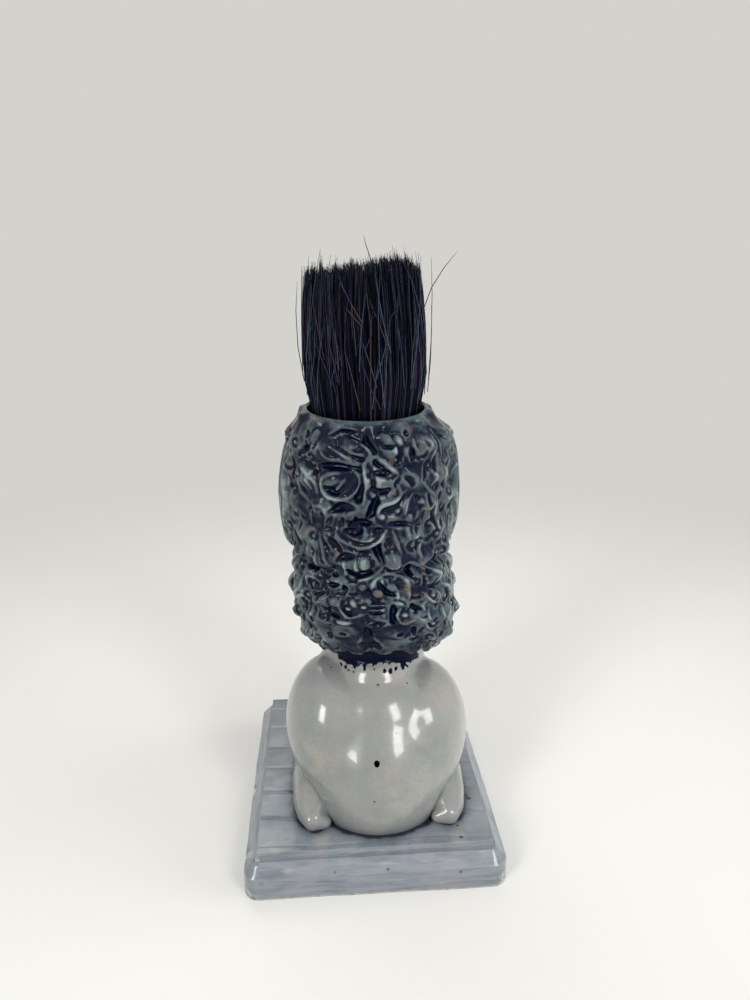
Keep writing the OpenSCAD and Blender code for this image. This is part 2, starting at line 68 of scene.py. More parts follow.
def show(name, data):
    made = bpy.data.objects.new(name, data)
    bpy.context.scene.collection.objects.link(made)
    return made


def awayAt(bearing, height):
    # direction from the figure, at a bearing from behind it and an angle above the table
    bearing, height = math.radians(bearing), math.radians(height)
    level = math.cos(height)
    return Vector((math.sin(bearing) * level, math.cos(bearing) * level, math.sin(height)))


def standFacing(thing, spot, away, roll=0.0):
    # a camera or lamp at a spot, looking back against a direction
    thing.location = spot
    turn = Euler((0, 0, math.radians(roll))).to_quaternion()
    thing.rotation_mode = "QUATERNION"
    thing.rotation_quaternion = away.to_track_quat("Z", "Y") @ turn


# Camera, at the photograph's viewing angle from behind the figure
cameraSetup = {
    "place": (10.24, 180.6, 145.0), "bearing": 3.91, "drop": 17.45, "roll": -0.16, "sensor": 36,
    "focus": 751.2, "frameHeight": 1000,  # both in pixels
}


def makeCamera(values):
    data = bpy.data.cameras.new("camera")
    data.sensor_fit = "VERTICAL"
    data.sensor_height = values["sensor"]
    data.lens = values["sensor"] * values["focus"] / values["frameHeight"]
    data.clip_start = 0.01
    camera = show("camera", data)
    away = awayAt(values["bearing"], values["drop"])
    standFacing(camera, Vector(values["place"]) * mm, away, values["roll"])
    bpy.context.scene.camera = camera


makeCamera(cameraSetup)
bpy.context.scene.view_settings.view_transform = "Standard"


def paint(colour):
    # a colour as a picture shows it, from 0 to 255, turned into the linear one that shaders use
    def linear(share):
        return share / 12.92 if share <= 0.04045 else ((share + 0.055) / 1.055) ** 2.4

    return (*(linear(part / 255) for part in colour), 1)


class Nodes:
    # a node tree and short ways to add to it; spot is the place that is shaded
    def __init__(self, tree):
        self.tree = tree

    def give(self, socket, value):
        if isinstance(value, bpy.types.NodeSocket):
            self.tree.links.new(value, socket)
        else:
            socket.default_value = value

    def add(self, kind, inputs=None, **settings):
        made = self.tree.nodes.new("ShaderNode" + kind)
        for name, value in settings.items():
            setattr(made, name, value)
        for name, value in (inputs or {}).items():
            self.give(made.inputs[name], value)
        return made.outputs

    def calc(self, operation, *values, clamp=False):
        return self.add("Math", dict(enumerate(values)), operation=operation, use_clamp=clamp)[0]

    def times(self, first, second):
        return self.calc("MULTIPLY", first, second)

    def scaled(self, value, factor, offset):
        return self.calc("MULTIPLY_ADD", value, factor, offset)

    def stepUp(self, value, low, high):
        # 0 below low, 1 above high, smooth between
        inputs = {"Value": value, "From Min": low, "From Max": high}
        return self.add("MapRange", inputs, interpolation_type="SMOOTHSTEP")[0]

    def noiseAt(self, size, detail=2.0, rough=0.5, place=None):
        # soft noise whose patches are about that many millimetres wide
        given = isinstance(size, bpy.types.NodeSocket)
        scale = self.calc("DIVIDE", 1 / mm, size) if given else 1 / (size * mm)
        inputs = {"Vector": self.spot if place is None else place, "Scale": scale, "Detail": detail}
        return self.add("TexNoise", {**inputs, "Roughness": rough})["Fac"]

    def distance(self, place, middle):
        inputs = {0: place, 1: [part * mm for part in middle]}
        return self.add("VectorMath", inputs, operation="DISTANCE")["Value"]

    def bump(self, height):
        return self.add("Bump", {"Height": height, "Strength": 1.0, "Distance": 1.0})["Normal"]


def newGroup(name, result, kind="Float", **numbers):
    # a node group that takes a place and some numbers and gives one result
    tree = bpy.data.node_groups.new(name, "ShaderNodeTree")
    tree.interface.new_socket("Place", in_out="INPUT", socket_type="NodeSocketVector")
    for label, value in numbers.items():
        made = tree.interface.new_socket(label, in_out="INPUT", socket_type="NodeSocketFloat")
        made.default_value = value
    tree.interface.new_socket(result, in_out="OUTPUT", socket_type="NodeSocket" + kind)
    nodes, given = Nodes(tree), tree.nodes.new("NodeGroupInput").outputs
    nodes.spot = given["Place"]
    return nodes, given, tree.nodes.new("NodeGroupOutput").inputs[result]


def makeSpecks():
    # sparse round specks of iron in the glaze: 1 on a speck
    nodes, given, out = newGroup("glaze specks", "Mask", Spacing=4.0, Radius=0.2, Share=0.3)
    scale = nodes.calc("DIVIDE", 1 / mm, given["Spacing"])
    cells = nodes.add("TexVoronoi", {"Vector": nodes.spot, "Scale": scale})
    lottery = nodes.add("SeparateColor", {"Color": cells["Color"]})
    radius = nodes.times(given["Radius"], nodes.calc("ADD", lottery["Green"], 0.5))
    inside = nodes.calc("SUBTRACT", radius, nodes.times(cells["Distance"], given["Spacing"]))
    dot = nodes.calc("DIVIDE", inside, nodes.times(radius, 0.6), clamp=True)
    nodes.give(out, nodes.times(dot, nodes.calc("LESS_THAN", lottery["Red"], given["Share"])))
    return nodes.tree


def makeClouds():
    # soft patches where a glaze lies thicker or thinner
    nodes, given, out = newGroup("glaze clouds", "Mask", Size=12.0, Low=0.4, High=0.6)
    nodes.give(out, nodes.stepUp(nodes.noiseAt(given["Size"], 4.0, 0.55), given["Low"], given["High"]))
    return nodes.tree


def makeSkin():
    # fine unevenness of a fired glaze, as a normal
    nodes, given, out = newGroup("glaze skin", "Normal", "Vector", Wave=3.0, Grain=0.6, Depth=0.02)
    height = nodes.scaled(nodes.noiseAt(given["Grain"]), 0.22, nodes.noiseAt(given["Wave"]))
    nodes.give(out, nodes.bump(nodes.times(height, nodes.times(given["Depth"], mm))))
    return nodes.tree


specks = makeSpecks()
clouds = makeClouds()
glazeSkin = makeSkin()


class Coat(Nodes):
    # a material painted colour over colour, from a dictionary that names its colours
    def __init__(self, name, values, ground):
        self.material = bpy.data.materials.new(name)
        self.material.use_nodes = True
        super().__init__(self.material.node_tree)
        self.values = values
        self.colour = paint(values[ground])
        self.spot = self.add("TexCoord")["Object"]

    def blend(self, mask, low, high):
        return self.add("Mix", {0: mask, 6: low, 7: high}, data_type="RGBA")[2]

    def tint(self, colour, mask, weight=1.0):
        # lays on a colour, given by its name or made by nodes, where the mask is 1
        over = paint(self.values[colour]) if isinstance(colour, str) else colour
        mask = mask if weight == 1 else self.times(mask, weight)
        self.colour = self.blend(mask, self.colour, over)

    def tintSteps(self, height):
        # one colour after another as a height rises
        for colour, low, high in self.values["steps"]:
            self.tint(colour, self.stepUp(height, low, high))

    def group(self, tree, **inputs):
        return self.add("Group", inputs={"Place": self.spot, **inputs}, node_tree=tree)[0]

    def cloud(self, size, low, high):
        return self.group(clouds, Size=size, Low=low, High=high)

    def patches(self):
        for colour, size, low, high in self.values["patches"]:
            self.tint(colour, self.cloud(size, low, high))

    def dots(self):
        for spacing, radius, share, weight in self.values["dots"]:
            self.tint("speck", self.group(specks, Spacing=spacing, Radius=radius, Share=share), weight)

    def mark(self, middle, radius, ragged):
        # 1 on a mark in the glaze, with a ragged edge
        apart = self.scaled(ragged, radius * 1.1 * mm, self.distance(self.spot, middle))
        return self.stepUp(apart, radius * 1.6 * mm, radius * 1.1 * mm)

    def attribute(self, name):
        return self.add("Attribute", attribute_name=name)["Fac"]

    def stretched(self, *scale):
        return self.add("Mapping", {"Vector": self.spot, "Scale": scale})[0]

    def finish(self, rough, sockets):
        shader = self.tree.nodes["Principled BSDF"].inputs
        for name, value in {"Base Color": self.colour, "Roughness": rough, **sockets}.items():
            self.give(shader[name], value)
        return self.material

    def fire(self, rough, gloss=0.5):
        wave, grain, depth, coat = self.values["skin"]
        normal = self.group(glazeSkin, Wave=wave, Grain=grain, Depth=depth)
        return self.finish(rough, {"Normal": normal, "IOR": 1.5, "Specular IOR Level": gloss,
                                   "Coat Weight": coat, "Coat Roughness": 0.05})


# Vent hole that let steam out in the kiln, in the rump
vent = {"across": -0.5, "height": 19.4, "radius": 0.68, "depth": 5.0}

# Grey glaze of the clipped body, legs and face
greyGlaze = {
    "base": (141, 143, 138), "warm": (150, 147, 139), "cool": (126, 132, 129), "lavender": (140, 134, 143),
    # the colour for creases is pooled glaze and painted shade
    # the near-black colour is for specks of iron, and for painted shade inside the vent hole
    "grain": (118, 121, 117), "poolShade": (112, 113, 120), "speck": (58, 56, 54), "speckAndHoleShade": (8, 8, 10),
    # soft patches: colour, size, low and high; fine specks: spacing, radius, share and weight
    "patches": [("cool", 16.0, 0.42, 0.62), ("warm", 9.0, 0.5, 0.7)],
    "dots": [(4.6, 0.22, 0.22, 0.85), (1.7, 0.1, 0.2, 0.35)],
    "skin": (5.0, 0.55, 0.035, 0.6),  # wave, grain, depth and clear coat
    # specks of iron on the back: place and radius
    "marks": [
        ((0.3, 30.6, 21.8), 0.36), ((-1.6, 16.3, 44.9), 0.4), ((-9.1, 14.7, 44.1), 0.3),
        ((-15.8, 16.8, 40.3), 0.3), ((-18.0, 18.7, 36.8), 0.26), ((18.3, 17.0, 34.8), 0.34),
        ((13.7, 21.6, 28.9), 0.3), ((6.9, 25.4, 28.9), 0.24), ((-5.5, 23.4, 35.7), 0.34),
        ((-16.4, 23.9, 20.1), 0.28), ((9.9, 9.9, 46.6), 0.3), ((4.2, 28.4, 24.4), 0.2),
        ((-3.2, 21.8, 38.6), 0.22), ((12.4, 19.2, 38.2), 0.2),
    ],
}


def makeGreyGlaze(values, name, vented=False):
    glaze = Coat(name, values, "base")
    glaze.patches()
    grain = glaze.stepUp(glaze.noiseAt(0.8, 3.0), 0.35, 0.75)
    glaze.tint("grain", grain, 0.36)
    axes = glaze.add("SeparateXYZ", {"Vector": glaze.spot})
    lowDown = glaze.stepUp(axes["Z"], (slabTop + 7) * mm, slabTop * mm)
    glaze.tint("lavender", glaze.calc("ADD", lowDown, glaze.cloud(7.0, 0.4, 0.7)), 0.24)
    # creases are darkened as pooled glaze and as painted shade
    glaze.tint("poolShade", glaze.attribute("crease"), 0.48)
    glaze.dots()
    if vented:
        # the wall of the vent hole is painted near-black, as painted shade inside the hole
        apart = glaze.distance(glaze.stretched(1, 0, 1), (vent["across"], 0, slabTop + vent["height"]))
        inside = glaze.calc("LESS_THAN", apart, vent["radius"] * 1.06 * mm)
        glaze.tint("speckAndHoleShade", glaze.times(inside, glaze.calc("GREATER_THAN", axes["Y"], 10 * mm)))
        ragged = glaze.noiseAt(0.4)
        for middle, radius in values["marks"]:
            glaze.tint("speckAndHoleShade", glaze.mark(middle, radius, ragged), 0.85)
    return glaze.fire(glaze.scaled(grain, 0.08, 0.2))


# Blue-grey glaze of the plinth, brushed on along its sides
blueGlaze = {
    "base": (136, 143, 148), "deep": (106, 118, 126), "lavender": (139, 140, 149), "green": (122, 135, 134),
    # the colours at the figure's foot are pooled glaze with painted shade, and a dark line of painted contact
    # shadow
    "worn": (178, 174, 164), "brown": (112, 92, 70), "poolShade": (58, 70, 84), "line": (20, 27, 42),
    "speck": (42, 47, 58),
    "patches": [("lavender", 14.0, 0.42, 0.66), ("green", 8.0, 0.52, 0.74)],
    # strokes of the brush: colour, size, detail, roughness, low, high and weight
    "strokes": [("worn", 0.9, 3.0, 0.5, 0.6, 0.72, 0.4), ("poolShade", 1.2, 4.0, 0.65, 0.56, 0.34, 0.28)],
    "dots": [(6.5, 0.4, 0.25, 0.8), (2.1, 0.16, 0.3, 0.6)],
    "skin": (4.0, 0.7, 0.05, 0.35),
    # dark marks in the glaze: place, radius and strength
    "marks": [
        ((-25.3, 17.7, 10.9), 0.8, 0.95), ((-20.9, 31.4, 10.9), 0.6, 0.95), ((-23.5, 20.9, 10.9), 0.4, 0.8),
        ((-20.7, 27.5, 10.9), 0.35, 0.8), ((-13.9, 34.0, 10.0), 0.9, 0.3), ((22.3, 25.5, 10.9), 0.7, 0.16),
        ((21.9, 29.0, 10.9), 0.9, 0.16), ((19.4, 30.6, 10.9), 1.0, 0.14), ((27.7, 36.4, 5.0), 0.9, 0.2),
        ((-2.5, 36.0, 6.6), 0.5, 0.6), ((10.1, 36.2, 6.8), 0.35, 0.6), ((-20.1, 36.4, 5.2), 0.6, 0.6),
        ((24.4, 21.5, 10.9), 0.35, 0.7), ((31.9, 3.6, 7.0), 0.9, 0.9), ((31.5, 4.4, 8.0), 0.7, 0.9),
        ((31.9, 2.6, 6.0), 0.6, 0.8),
    ],
}


def makeBlueGlaze(values):
    glaze = Coat("glaze blue", values, "base")
    # the strokes run round the plinth, so they are drawn out level
    drawn = glaze.stretched(0.1, 0.1, 1.0)
    glaze.tint("deep", glaze.stepUp(glaze.noiseAt(1.5, 4.0, 0.6, drawn), 0.38, 0.66))
    glaze.patches()
    for colour, size, detail, rough, low, high, weight in values["strokes"]:
        glaze.tint(colour, glaze.stepUp(glaze.noiseAt(size, detail, rough, drawn), low, high), weight)
    glaze.dots()
    # glaze pooled round the body and the feet, darkened further as painted shade where they stand on the
    # plinth
    torn = glaze.scaled(glaze.noiseAt(3.0), 0.5, glaze.calc("SUBTRACT", glaze.attribute("poolShade"), 0.25))
    glaze.tint("poolShade", glaze.stepUp(torn, 0.1, 1.0), 0.85)
    # a dark line of painted contact shadow, with pooled glaze, right where the figure stands
    glaze.tint("line", glaze.stepUp(torn, 0.54, 0.8), 0.92)
    ragged = glaze.noiseAt(0.8, 4.0, 0.75)
    for middle, radius, strength in values["marks"]:
        glaze.tint("speck", glaze.mark(middle, radius, ragged), strength)
    wear = glaze.calc("SUBTRACT", glaze.attribute("wear"), 0.45)
    bare = glaze.stepUp(glaze.scaled(glaze.noiseAt(1.8, 5.0, 0.65), 0.9, wear), 0.5, 0.72)
    stain = glaze.stepUp(glaze.noiseAt(2.6, 4.0), 0.57, 0.7)
    glaze.tint(glaze.blend(stain, paint(values["worn"]), paint(values["brown"])), bare, 0.8)
    return glaze.fire(glaze.scaled(bare, 0.3, 0.24))


# Black glaze of the curls, which breaks to grey-green where it runs thin over a ridge; its hollows are
# darkened as painted shade and its crests lightened as painted highlight
blackGlaze = {
    "recess": (2, 8, 32), "slope": (12, 22, 42), "ridge": (76, 88, 93), "crest": (130, 142, 142),
    "rust": (122, 98, 80), "violet": (28, 30, 56),
    "steps": [("slope", 0.12, 0.42), ("ridge", 0.38, 0.78), ("crest", 0.82, 1.1)],
    "skin": (2.0, 0.4, 0.02, 0.0),
    # rusty marks where the clay shows through at the back: place and radius
    "marks": [
        ((-2.3, 17.0, 102.0), 0.9), ((-4.8, 16.6, 102.2), 1.1), ((1.2, 17.0, 77.2), 1.2),
        ((-1.7, 19.0, 70.6), 1.4), ((-8.5, 17.7, 71.1), 1.6), ((-13.0, 16.0, 68.3), 1.3),
        ((-8.4, 18.8, 63.0), 1.1), ((-9.5, 13.0, 109.0), 1.2),
    ],
}


def makeBlackGlaze(values, name, gloss):
    glaze = Coat(name, values, "recess")
    # the fine and the broad unevenness swing about nothing, each by half its weight
    relief = glaze.calc("SUBTRACT", glaze.attribute("relief"), 0.5 * (0.5 + 1.1))
    height = glaze.scaled(glaze.noiseAt(1.3, 4.0, 0.6), 0.5, glaze.scaled(glaze.noiseAt(8.0), 1.1, relief))
    # hollows stay dark as painted shade and crests turn light as painted highlight, over glaze that runs thin
    # on the ridges
    glaze.tintSteps(height)
    glaze.tint("violet", glaze.cloud(5.0, 0.55, 0.72), 0.3)
    rust = glaze.times(glaze.cloud(4.2, 0.6, 0.7), glaze.stepUp(height, 0.4, 0.8))
    ragged = glaze.noiseAt(0.9, 3.0)
    for middle, radius in values["marks"]:
        rust = glaze.calc("MAXIMUM", rust, glaze.times(glaze.mark(middle, radius, ragged), 0.5))
    glaze.tint("rust", rust, 0.6)
    return glaze.fire(glaze.scaled(glaze.stepUp(height, 0.2, 0.9), 0.14, 0.08), gloss)


# Hair, wood, thread and pitch of the brush
hairTones = {
    "black": (2, 2, 6), "blue": (10, 15, 38), "slate": (60, 70, 88), "plum": (54, 42, 70),
    "brown": (78, 66, 60),
    "steps": [("blue", 0.4, 0.62), ("slate", 0.68, 0.84), ("plum", 0.86, 0.92), ("brown", 0.96, 1.0)],
}
turnedWood = {"light": (176, 132, 86), "dark": (118, 78, 44), "pore": (74, 46, 28), "rings": 260.0}
# thread and pitch: size and depth of their lumps, and how the lumps add to the roughness
waxedThread = {"dark": (58, 54, 48), "light": (96, 90, 78), "size": 0.25, "depth": 0.06, "rough": (0.2, 0.5)}
pitchTar = {"dark": (14, 12, 12), "light": (34, 28, 24), "size": 2.5, "depth": 0.2, "rough": (0.3, 0.2)}


def makeHair(values):
    hair = Coat("hair", values, "black")
    tone = hair.attribute("tone")
    hair.tintSteps(tone)
    hair.tint("black", hair.stepUp(hair.noiseAt(1.2, 3.0), 0.4, 0.7), 0.25)
    return hair.finish(hair.scaled(tone, 0.15, 0.34), {"Specular IOR Level": 0.11})


def makeWood(values):
    wood = Coat("turned wood", values, "light")
    drawn = wood.stretched(1.0, 1.0, 0.12)
    inputs = {"Vector": drawn, "Scale": values["rings"], "Distortion": 3.0, "Detail": 3.0}
    wood.tint("dark", wood.add("TexWave", inputs, bands_direction="X")["Fac"])
    pores = wood.stepUp(wood.noiseAt(0.35, place=drawn), 0.6, 0.72)
    wood.tint("pore", pores, 0.7)
    return wood.finish(wood.scaled(pores, 0.25, 0.45), {"Normal": wood.bump(wood.times(pores, -0.03 * mm))})


def makePlain(values, name):
    coat = Coat(name, values, "dark")
    lumps = coat.noiseAt(values["size"], 3.0)
    coat.tint("light", lumps)
    normal = coat.bump(coat.times(lumps, values["depth"] * mm))
    return coat.finish(coat.scaled(lumps, *values["rough"]), {"Normal": normal})


# material, body and slot of each finish
finishes = {
    "vented": (makeGreyGlaze(greyGlaze, "glaze grey vented", vented=True), "figure", "glaze_grey"),
    "grey": (makeGreyGlaze(greyGlaze, "glaze grey"), "figure", "glaze_grey"),
    "blue": (makeBlueGlaze(blueGlaze), "figure", "glaze_blue"),
    "black": (makeBlackGlaze(blackGlaze, "glaze black", gloss=0.18), "figure", "glaze_black"),
    "thin": (makeBlackGlaze(blackGlaze, "glaze black thin", gloss=0.08), "figure", "glaze_black"),
    "hair": (makeHair(hairTones), "brush", "hair"),
    "wood": (makeWood(turnedWood), "brush", "plug_wood"),
    "thread": (makePlain(waxedThread, "waxed thread"), "brush", "binding"),
    "pitch": (makePlain(pitchTar, "pitch"), "brush", "pitch"),
}
print("materials made:", len(finishes))


# Small tools for making pieces
def addPiece(name, mesh, finish, nodes):
    material, body, slot = finishes[finish]
    piece = show(name, mesh)
    mesh.materials.clear()
    mesh.materials.append(material)
    mesh.shade_smooth()
    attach(piece, body)
    if nodes:
        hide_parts(*nodes)
    return piece


def bmFrom(mesh):
    bm = bmesh.new()
    bm.from_mesh(mesh)
    return bm


def meshFrom(bm, name):
    mesh = bpy.data.meshes.new(name)
    bm.to_mesh(mesh)
    bm.free()
    return mesh


def only(parts, kind):
    return [part for part in parts if isinstance(part, kind)]


def readPoints(mesh):
    points = np.empty(len(mesh.vertices) * 3)
    mesh.vertices.foreach_get("co", points)
    return points.reshape(-1, 3) / mm


def readNormals(mesh):
    normals = np.empty(len(mesh.vertices) * 3)
    mesh.vertex_normals.foreach_get("vector", normals)
    return normals.reshape(-1, 3)


def writePoints(mesh, points):
    mesh.vertices.foreach_set("co", (points * mm).astype(np.float32).ravel())
    mesh.update()


def storeMask(mesh, name, values):
    layer = mesh.attributes.get(name) or mesh.attributes.new(name, "FLOAT", "POINT")
    layer.data.foreach_set("value", np.full(len(mesh.vertices), values, np.float32))


def addBlob(bm, middle, halves, turn=(0, 0, 0), detail=4):
    turned = Euler([math.radians(angle) for angle in turn])
    matrix = Matrix.LocRotScale(Vector(middle) * mm, turned, Vector(halves) * mm)
    bmesh.ops.create_icosphere(bm, subdivisions=detail, radius=1, matrix=matrix)


def addPost(bm, middle, radius, length, segments, turn=0, foot=1):
    spot = Matrix.Translation(Vector(middle) * mm) @ Matrix.Rotation(math.radians(turn), 4, "X")
    bmesh.ops.create_cone(bm, cap_ends=True, segments=segments, matrix=spot, depth=length * mm,
                          radius1=radius * foot * mm, radius2=radius * mm)


def spun(line, steps, rows=False):
    # a closed skin from a line of radius and height in metres, turned round the upright axis
    bm = bmesh.new()
    layer = bm.verts.layers.int.new("row") if rows else None
    verts = [bm.verts.new((radius, 0, height)) for radius, height in line]
    if rows:
        for index, vert in enumerate(verts):
            vert[layer] = index
    joins = [bm.edges.new(pair) for pair in zip(verts, verts[1:])]
    bmesh.ops.spin(bm, geom=verts + joins, axis=(0, 0, 1), cent=(0, 0, 0), angle=math.tau, steps=steps,
                   use_merge=True)
    bmesh.ops.remove_doubles(bm, verts=bm.verts, dist=1e-7)
    bmesh.ops.recalc_face_normals(bm, faces=bm.faces)
    return bm


def baked(blank):
    # the mesh that an object shows with its modifiers; the object goes
    mesh = bpy.data.meshes.new_from_object(blank.evaluated_get(bpy.context.evaluated_depsgraph_get()))
    bpy.data.objects.remove(blank)
    return mesh


def melt(bm, name, voxel, passes):
    # blobs that overlap become one skin, and their joins are smoothed over like wet clay
    blank = show(name, meshFrom(bm, name))
    remesh = blank.modifiers.new("remesh", "REMESH")
    remesh.mode = "VOXEL"
    remesh.voxel_size = voxel * mm
    smooth = blank.modifiers.new("smooth", "SMOOTH")
    smooth.factor = 0.5
    smooth.iterations = passes
    return baked(blank)


def sliceAt(bm, spot, normal, **more):
    geometry = bm.verts[:] + bm.edges[:] + bm.faces[:]
    return bmesh.ops.bisect_plane(bm, geom=geometry, plane_co=spot, plane_no=normal, **more)


def cutLevel(mesh, name, height, keepAbove=True):
    # cut level at a height: one part goes, and the cut is closed
    bm = bmFrom(mesh)
    cut = sliceAt(bm, (0, 0, height * mm), (0, 0, 1), clear_inner=keepAbove, clear_outer=not keepAbove)
    bmesh.ops.holes_fill(bm, edges=only(cut["geom_cut"], bmesh.types.BMEdge), sides=0)
    bmesh.ops.recalc_face_normals(bm, faces=bm.faces)
    return meshFrom(bm, name)


def neighbourMean(mesh, values):
    # mean of the values at the ends of each point's edges
    ends = np.empty(len(mesh.edges) * 2, np.int64)
    mesh.edges.foreach_get("vertices", ends)
    ends = ends.reshape(-1, 2)
    total = np.zeros_like(values)
    count = np.zeros(len(mesh.vertices))
    for first, second in ((0, 1), (1, 0)):
        np.add.at(total, ends[:, first], values[ends[:, second]])
        np.add.at(count, ends[:, first], 1)
    return total / np.maximum(count, 1)[:, None]


def hollowness(mesh, passes):
    # how far each point lies below the mean of the skin round it, in millimetres
    points = around = readPoints(mesh)
    for _ in range(passes):
        around = neighbourMean(mesh, around)
    return ((around - points) * readNormals(mesh)).sum(1)


def storeCreases(mesh, strength=1.4):
    # 1 where the skin is folded in; the glaze is darker there, as pooled glaze and as painted shade
    storeMask(mesh, "crease", np.clip(hollowness(mesh, 12) * strength, 0, 1))


# Plinth: a stepped slab with a sloping shoulder, grooved across its top
plinth = {
    "band": 6.1, "shoulder": 2.7, "lean": 2.6, "step": 0.7, "cornerRadius": 3.6, "cornerSteps": 6,
    "wall": 4.0, "recess": 6.4, "edgeRound": 0.55, "edgeSteps": 3, "sharp": 0.5, "cut": 0.9,
    "grooves": range(-3, 4), "groovePitch": 9.6, "grooveShift": 2.4, "grooveWidth": 0.34, "grooveDepth": 0.42,
    "faintFrom": 30.0, "faint": 0.3,  # the grooves by the back edge are nearly filled with glaze
    "sway": 0.5, "swayLength": 7,  # the grooves aren't quite straight
    # size and height of the unevenness, and how far the sides may bulge
    "uneven": ((16.0, 0.22), (4.5, 0.07)), "bulge": 0.25,
    "calmBelow": 1.5,  # under this height the skin is less uneven, as the foot stays flat on the table
    "topBand": 1.2,  # the part below the top that the grooves are pressed into
    # how much the glaze is worn on a chip, along an edge and at the foot, up to a height
    "chipWear": 1.6, "chipRound": 0.7, "edgeWear": 0.75, "edgeSharp": 3.0, "footWear": 0.9,
    # chips in the glaze: place, radius and depth
    "chips": [
        ((31.3, 29.0, 7.0), 1.8, 0.3), ((31.6, 36.0, 1.0), 2.2, 0.4), ((-31.2, 36.0, 2.0), 1.8, 0.3),
        ((31.8, 5.0, 6.0), 1.6, 0.35), ((29.0, 33.0, 8.8), 1.3, 0.25), ((-32.0, -20.0, 6.0), 1.8, 0.3),
        ((12.0, -36.4, 6.0), 1.6, 0.3), ((8.0, -36.5, 0.2), 2.6, 0.3),
    ],
}


def makePlinth(values):
    low, high = boxOf("plinth")
    band, tall = values["band"], values["band"] + values["shoulder"]
    bm = bmesh.new()
    size = Matrix.Diagonal(((high.x - low.x) * mm, (high.y - low.y) * mm, band * mm, 1))
    bmesh.ops.create_cube(bm, size=1, matrix=Matrix.Translation((0, 0, band / 2 * mm)) @ size)
    upright = [edge for edge in bm.edges if abs(edge.verts[0].co.z - edge.verts[1].co.z) > mm]
    rounding = {"profile": 0.5, "affect": "EDGES", "material": -1}
    radius, steps = values["cornerRadius"] * mm, values["cornerSteps"]
    bmesh.ops.bevel(bm, geom=upright, offset=radius, segments=steps, **rounding)
    top, under = ([face for face in bm.faces if face.normal.z * way > 0.9] for way in (1, -1))
    bmesh.ops.inset_region(bm, faces=top, thickness=values["lean"] * mm, depth=values["shoulder"] * mm)
    # the slab stands on a step, and the underside is hollow
    lifts = ((top, values["step"], high.z - tall), (under, values["wall"], values["recess"]))
    for faces, inset, rise in lifts:
        bmesh.ops.inset_region(bm, faces=faces, thickness=inset * mm, depth=0)
        moved = only(bmesh.ops.extrude_face_region(bm, geom=faces)["geom"], bmesh.types.BMVert)
        bmesh.ops.translate(bm, vec=(0, 0, rise * mm), verts=moved)
        bmesh.ops.delete(bm, geom=faces, context="FACES_ONLY")
    bmesh.ops.recalc_face_normals(bm, faces=bm.faces)
    paired = [edge for edge in bm.edges if len(edge.link_faces) == 2]
    sharp = [edge for edge in paired if edge.calc_face_angle() > values["sharp"]]
    radius, steps = values["edgeRound"] * mm, values["edgeSteps"]
    bmesh.ops.bevel(bm, geom=sharp, offset=radius, segments=steps, clamp_overlap=True, **rounding)

    # cuts all over, so that the skin can be worked, and closer ones along the grooves
    grooves = [index * values["groovePitch"] + values["grooveShift"] for index in values["grooves"]]
    fine = [y + shift * values["grooveWidth"] for y in grooves for shift in (-2, -1, 0, 1, 2)]
    spans = (np.arange(low.x, high.x, values["cut"]), np.arange(low.y, high.y, values["cut"]),
             np.arange(1, high.z - 1, values["cut"]), fine)
    for axis, spots in zip((0, 1, 2, 1), spans):
        normal = Vector([axis == index for index in range(3)])
        for spot in spots:
            sliceAt(bm, normal * spot * mm, normal, dist=1e-6)
    bmesh.ops.triangulate(bm, faces=[face for face in bm.faces if len(face.verts) > 4])
    mesh = meshFrom(bm, "plinth")

    points, normals = readPoints(mesh), readNormals(mesh)
    wear = np.zeros(len(points))
    move = np.zeros_like(points)
    for size, height in values["uneven"]:
        move += np.array([noise.noise_vector(Vector(point) / size) * height for point in points])
    move[:, 2] *= np.minimum(1, points[:, 2] / values["calmBelow"])
    for y in grooves:
        along = np.abs(points[:, 1] - y - values["sway"] * np.sin(points[:, 0] / values["swayLength"]))
        faint = values["faint"] if y > values["faintFrom"] else 1.0
        depth = faint * values["grooveDepth"] * np.exp(-(along / values["grooveWidth"]) ** 2)
        move[:, 2] -= depth * (points[:, 2] > high.z - values["topBand"])
    for spot, radius, depth in values["chips"]:
        near = np.clip(1 - np.linalg.norm(points - np.array(spot), axis=1) / radius, 0, 1)
        move -= normals * (depth * near ** values["chipRound"])[:, None]
        wear = np.maximum(wear, near * values["chipWear"])
    edges = np.clip(-hollowness(mesh, 3) * values["edgeSharp"], 0, 1) * values["edgeWear"]
    footRub = np.clip(1 - points[:, 2] / values["footWear"], 0, 1) * (np.abs(normals[:, 2]) < 0.95)
    storeMask(mesh, "wear", np.clip(np.max([wear, edges, footRub], axis=0), 0, 1))
    outside = np.abs(points[:, :2] / (high.x, high.y)).max(1) > 0.999
    moved = points + move
    half = np.array([high.x, high.y]) + values["bulge"]
    moved[:, :2] = np.where(outside[:, None], np.clip(moved[:, :2], -half, half), moved[:, :2])
    moved[:, 2] = np.maximum(moved[:, 2], 0)
    writePoints(mesh, moved)
    addPiece("plinth", mesh, "blue", ["plinth"])
    return mesh


plinthMesh = makePlinth(plinth)
print("plinth made:", len(plinthMesh.polygons), "faces")


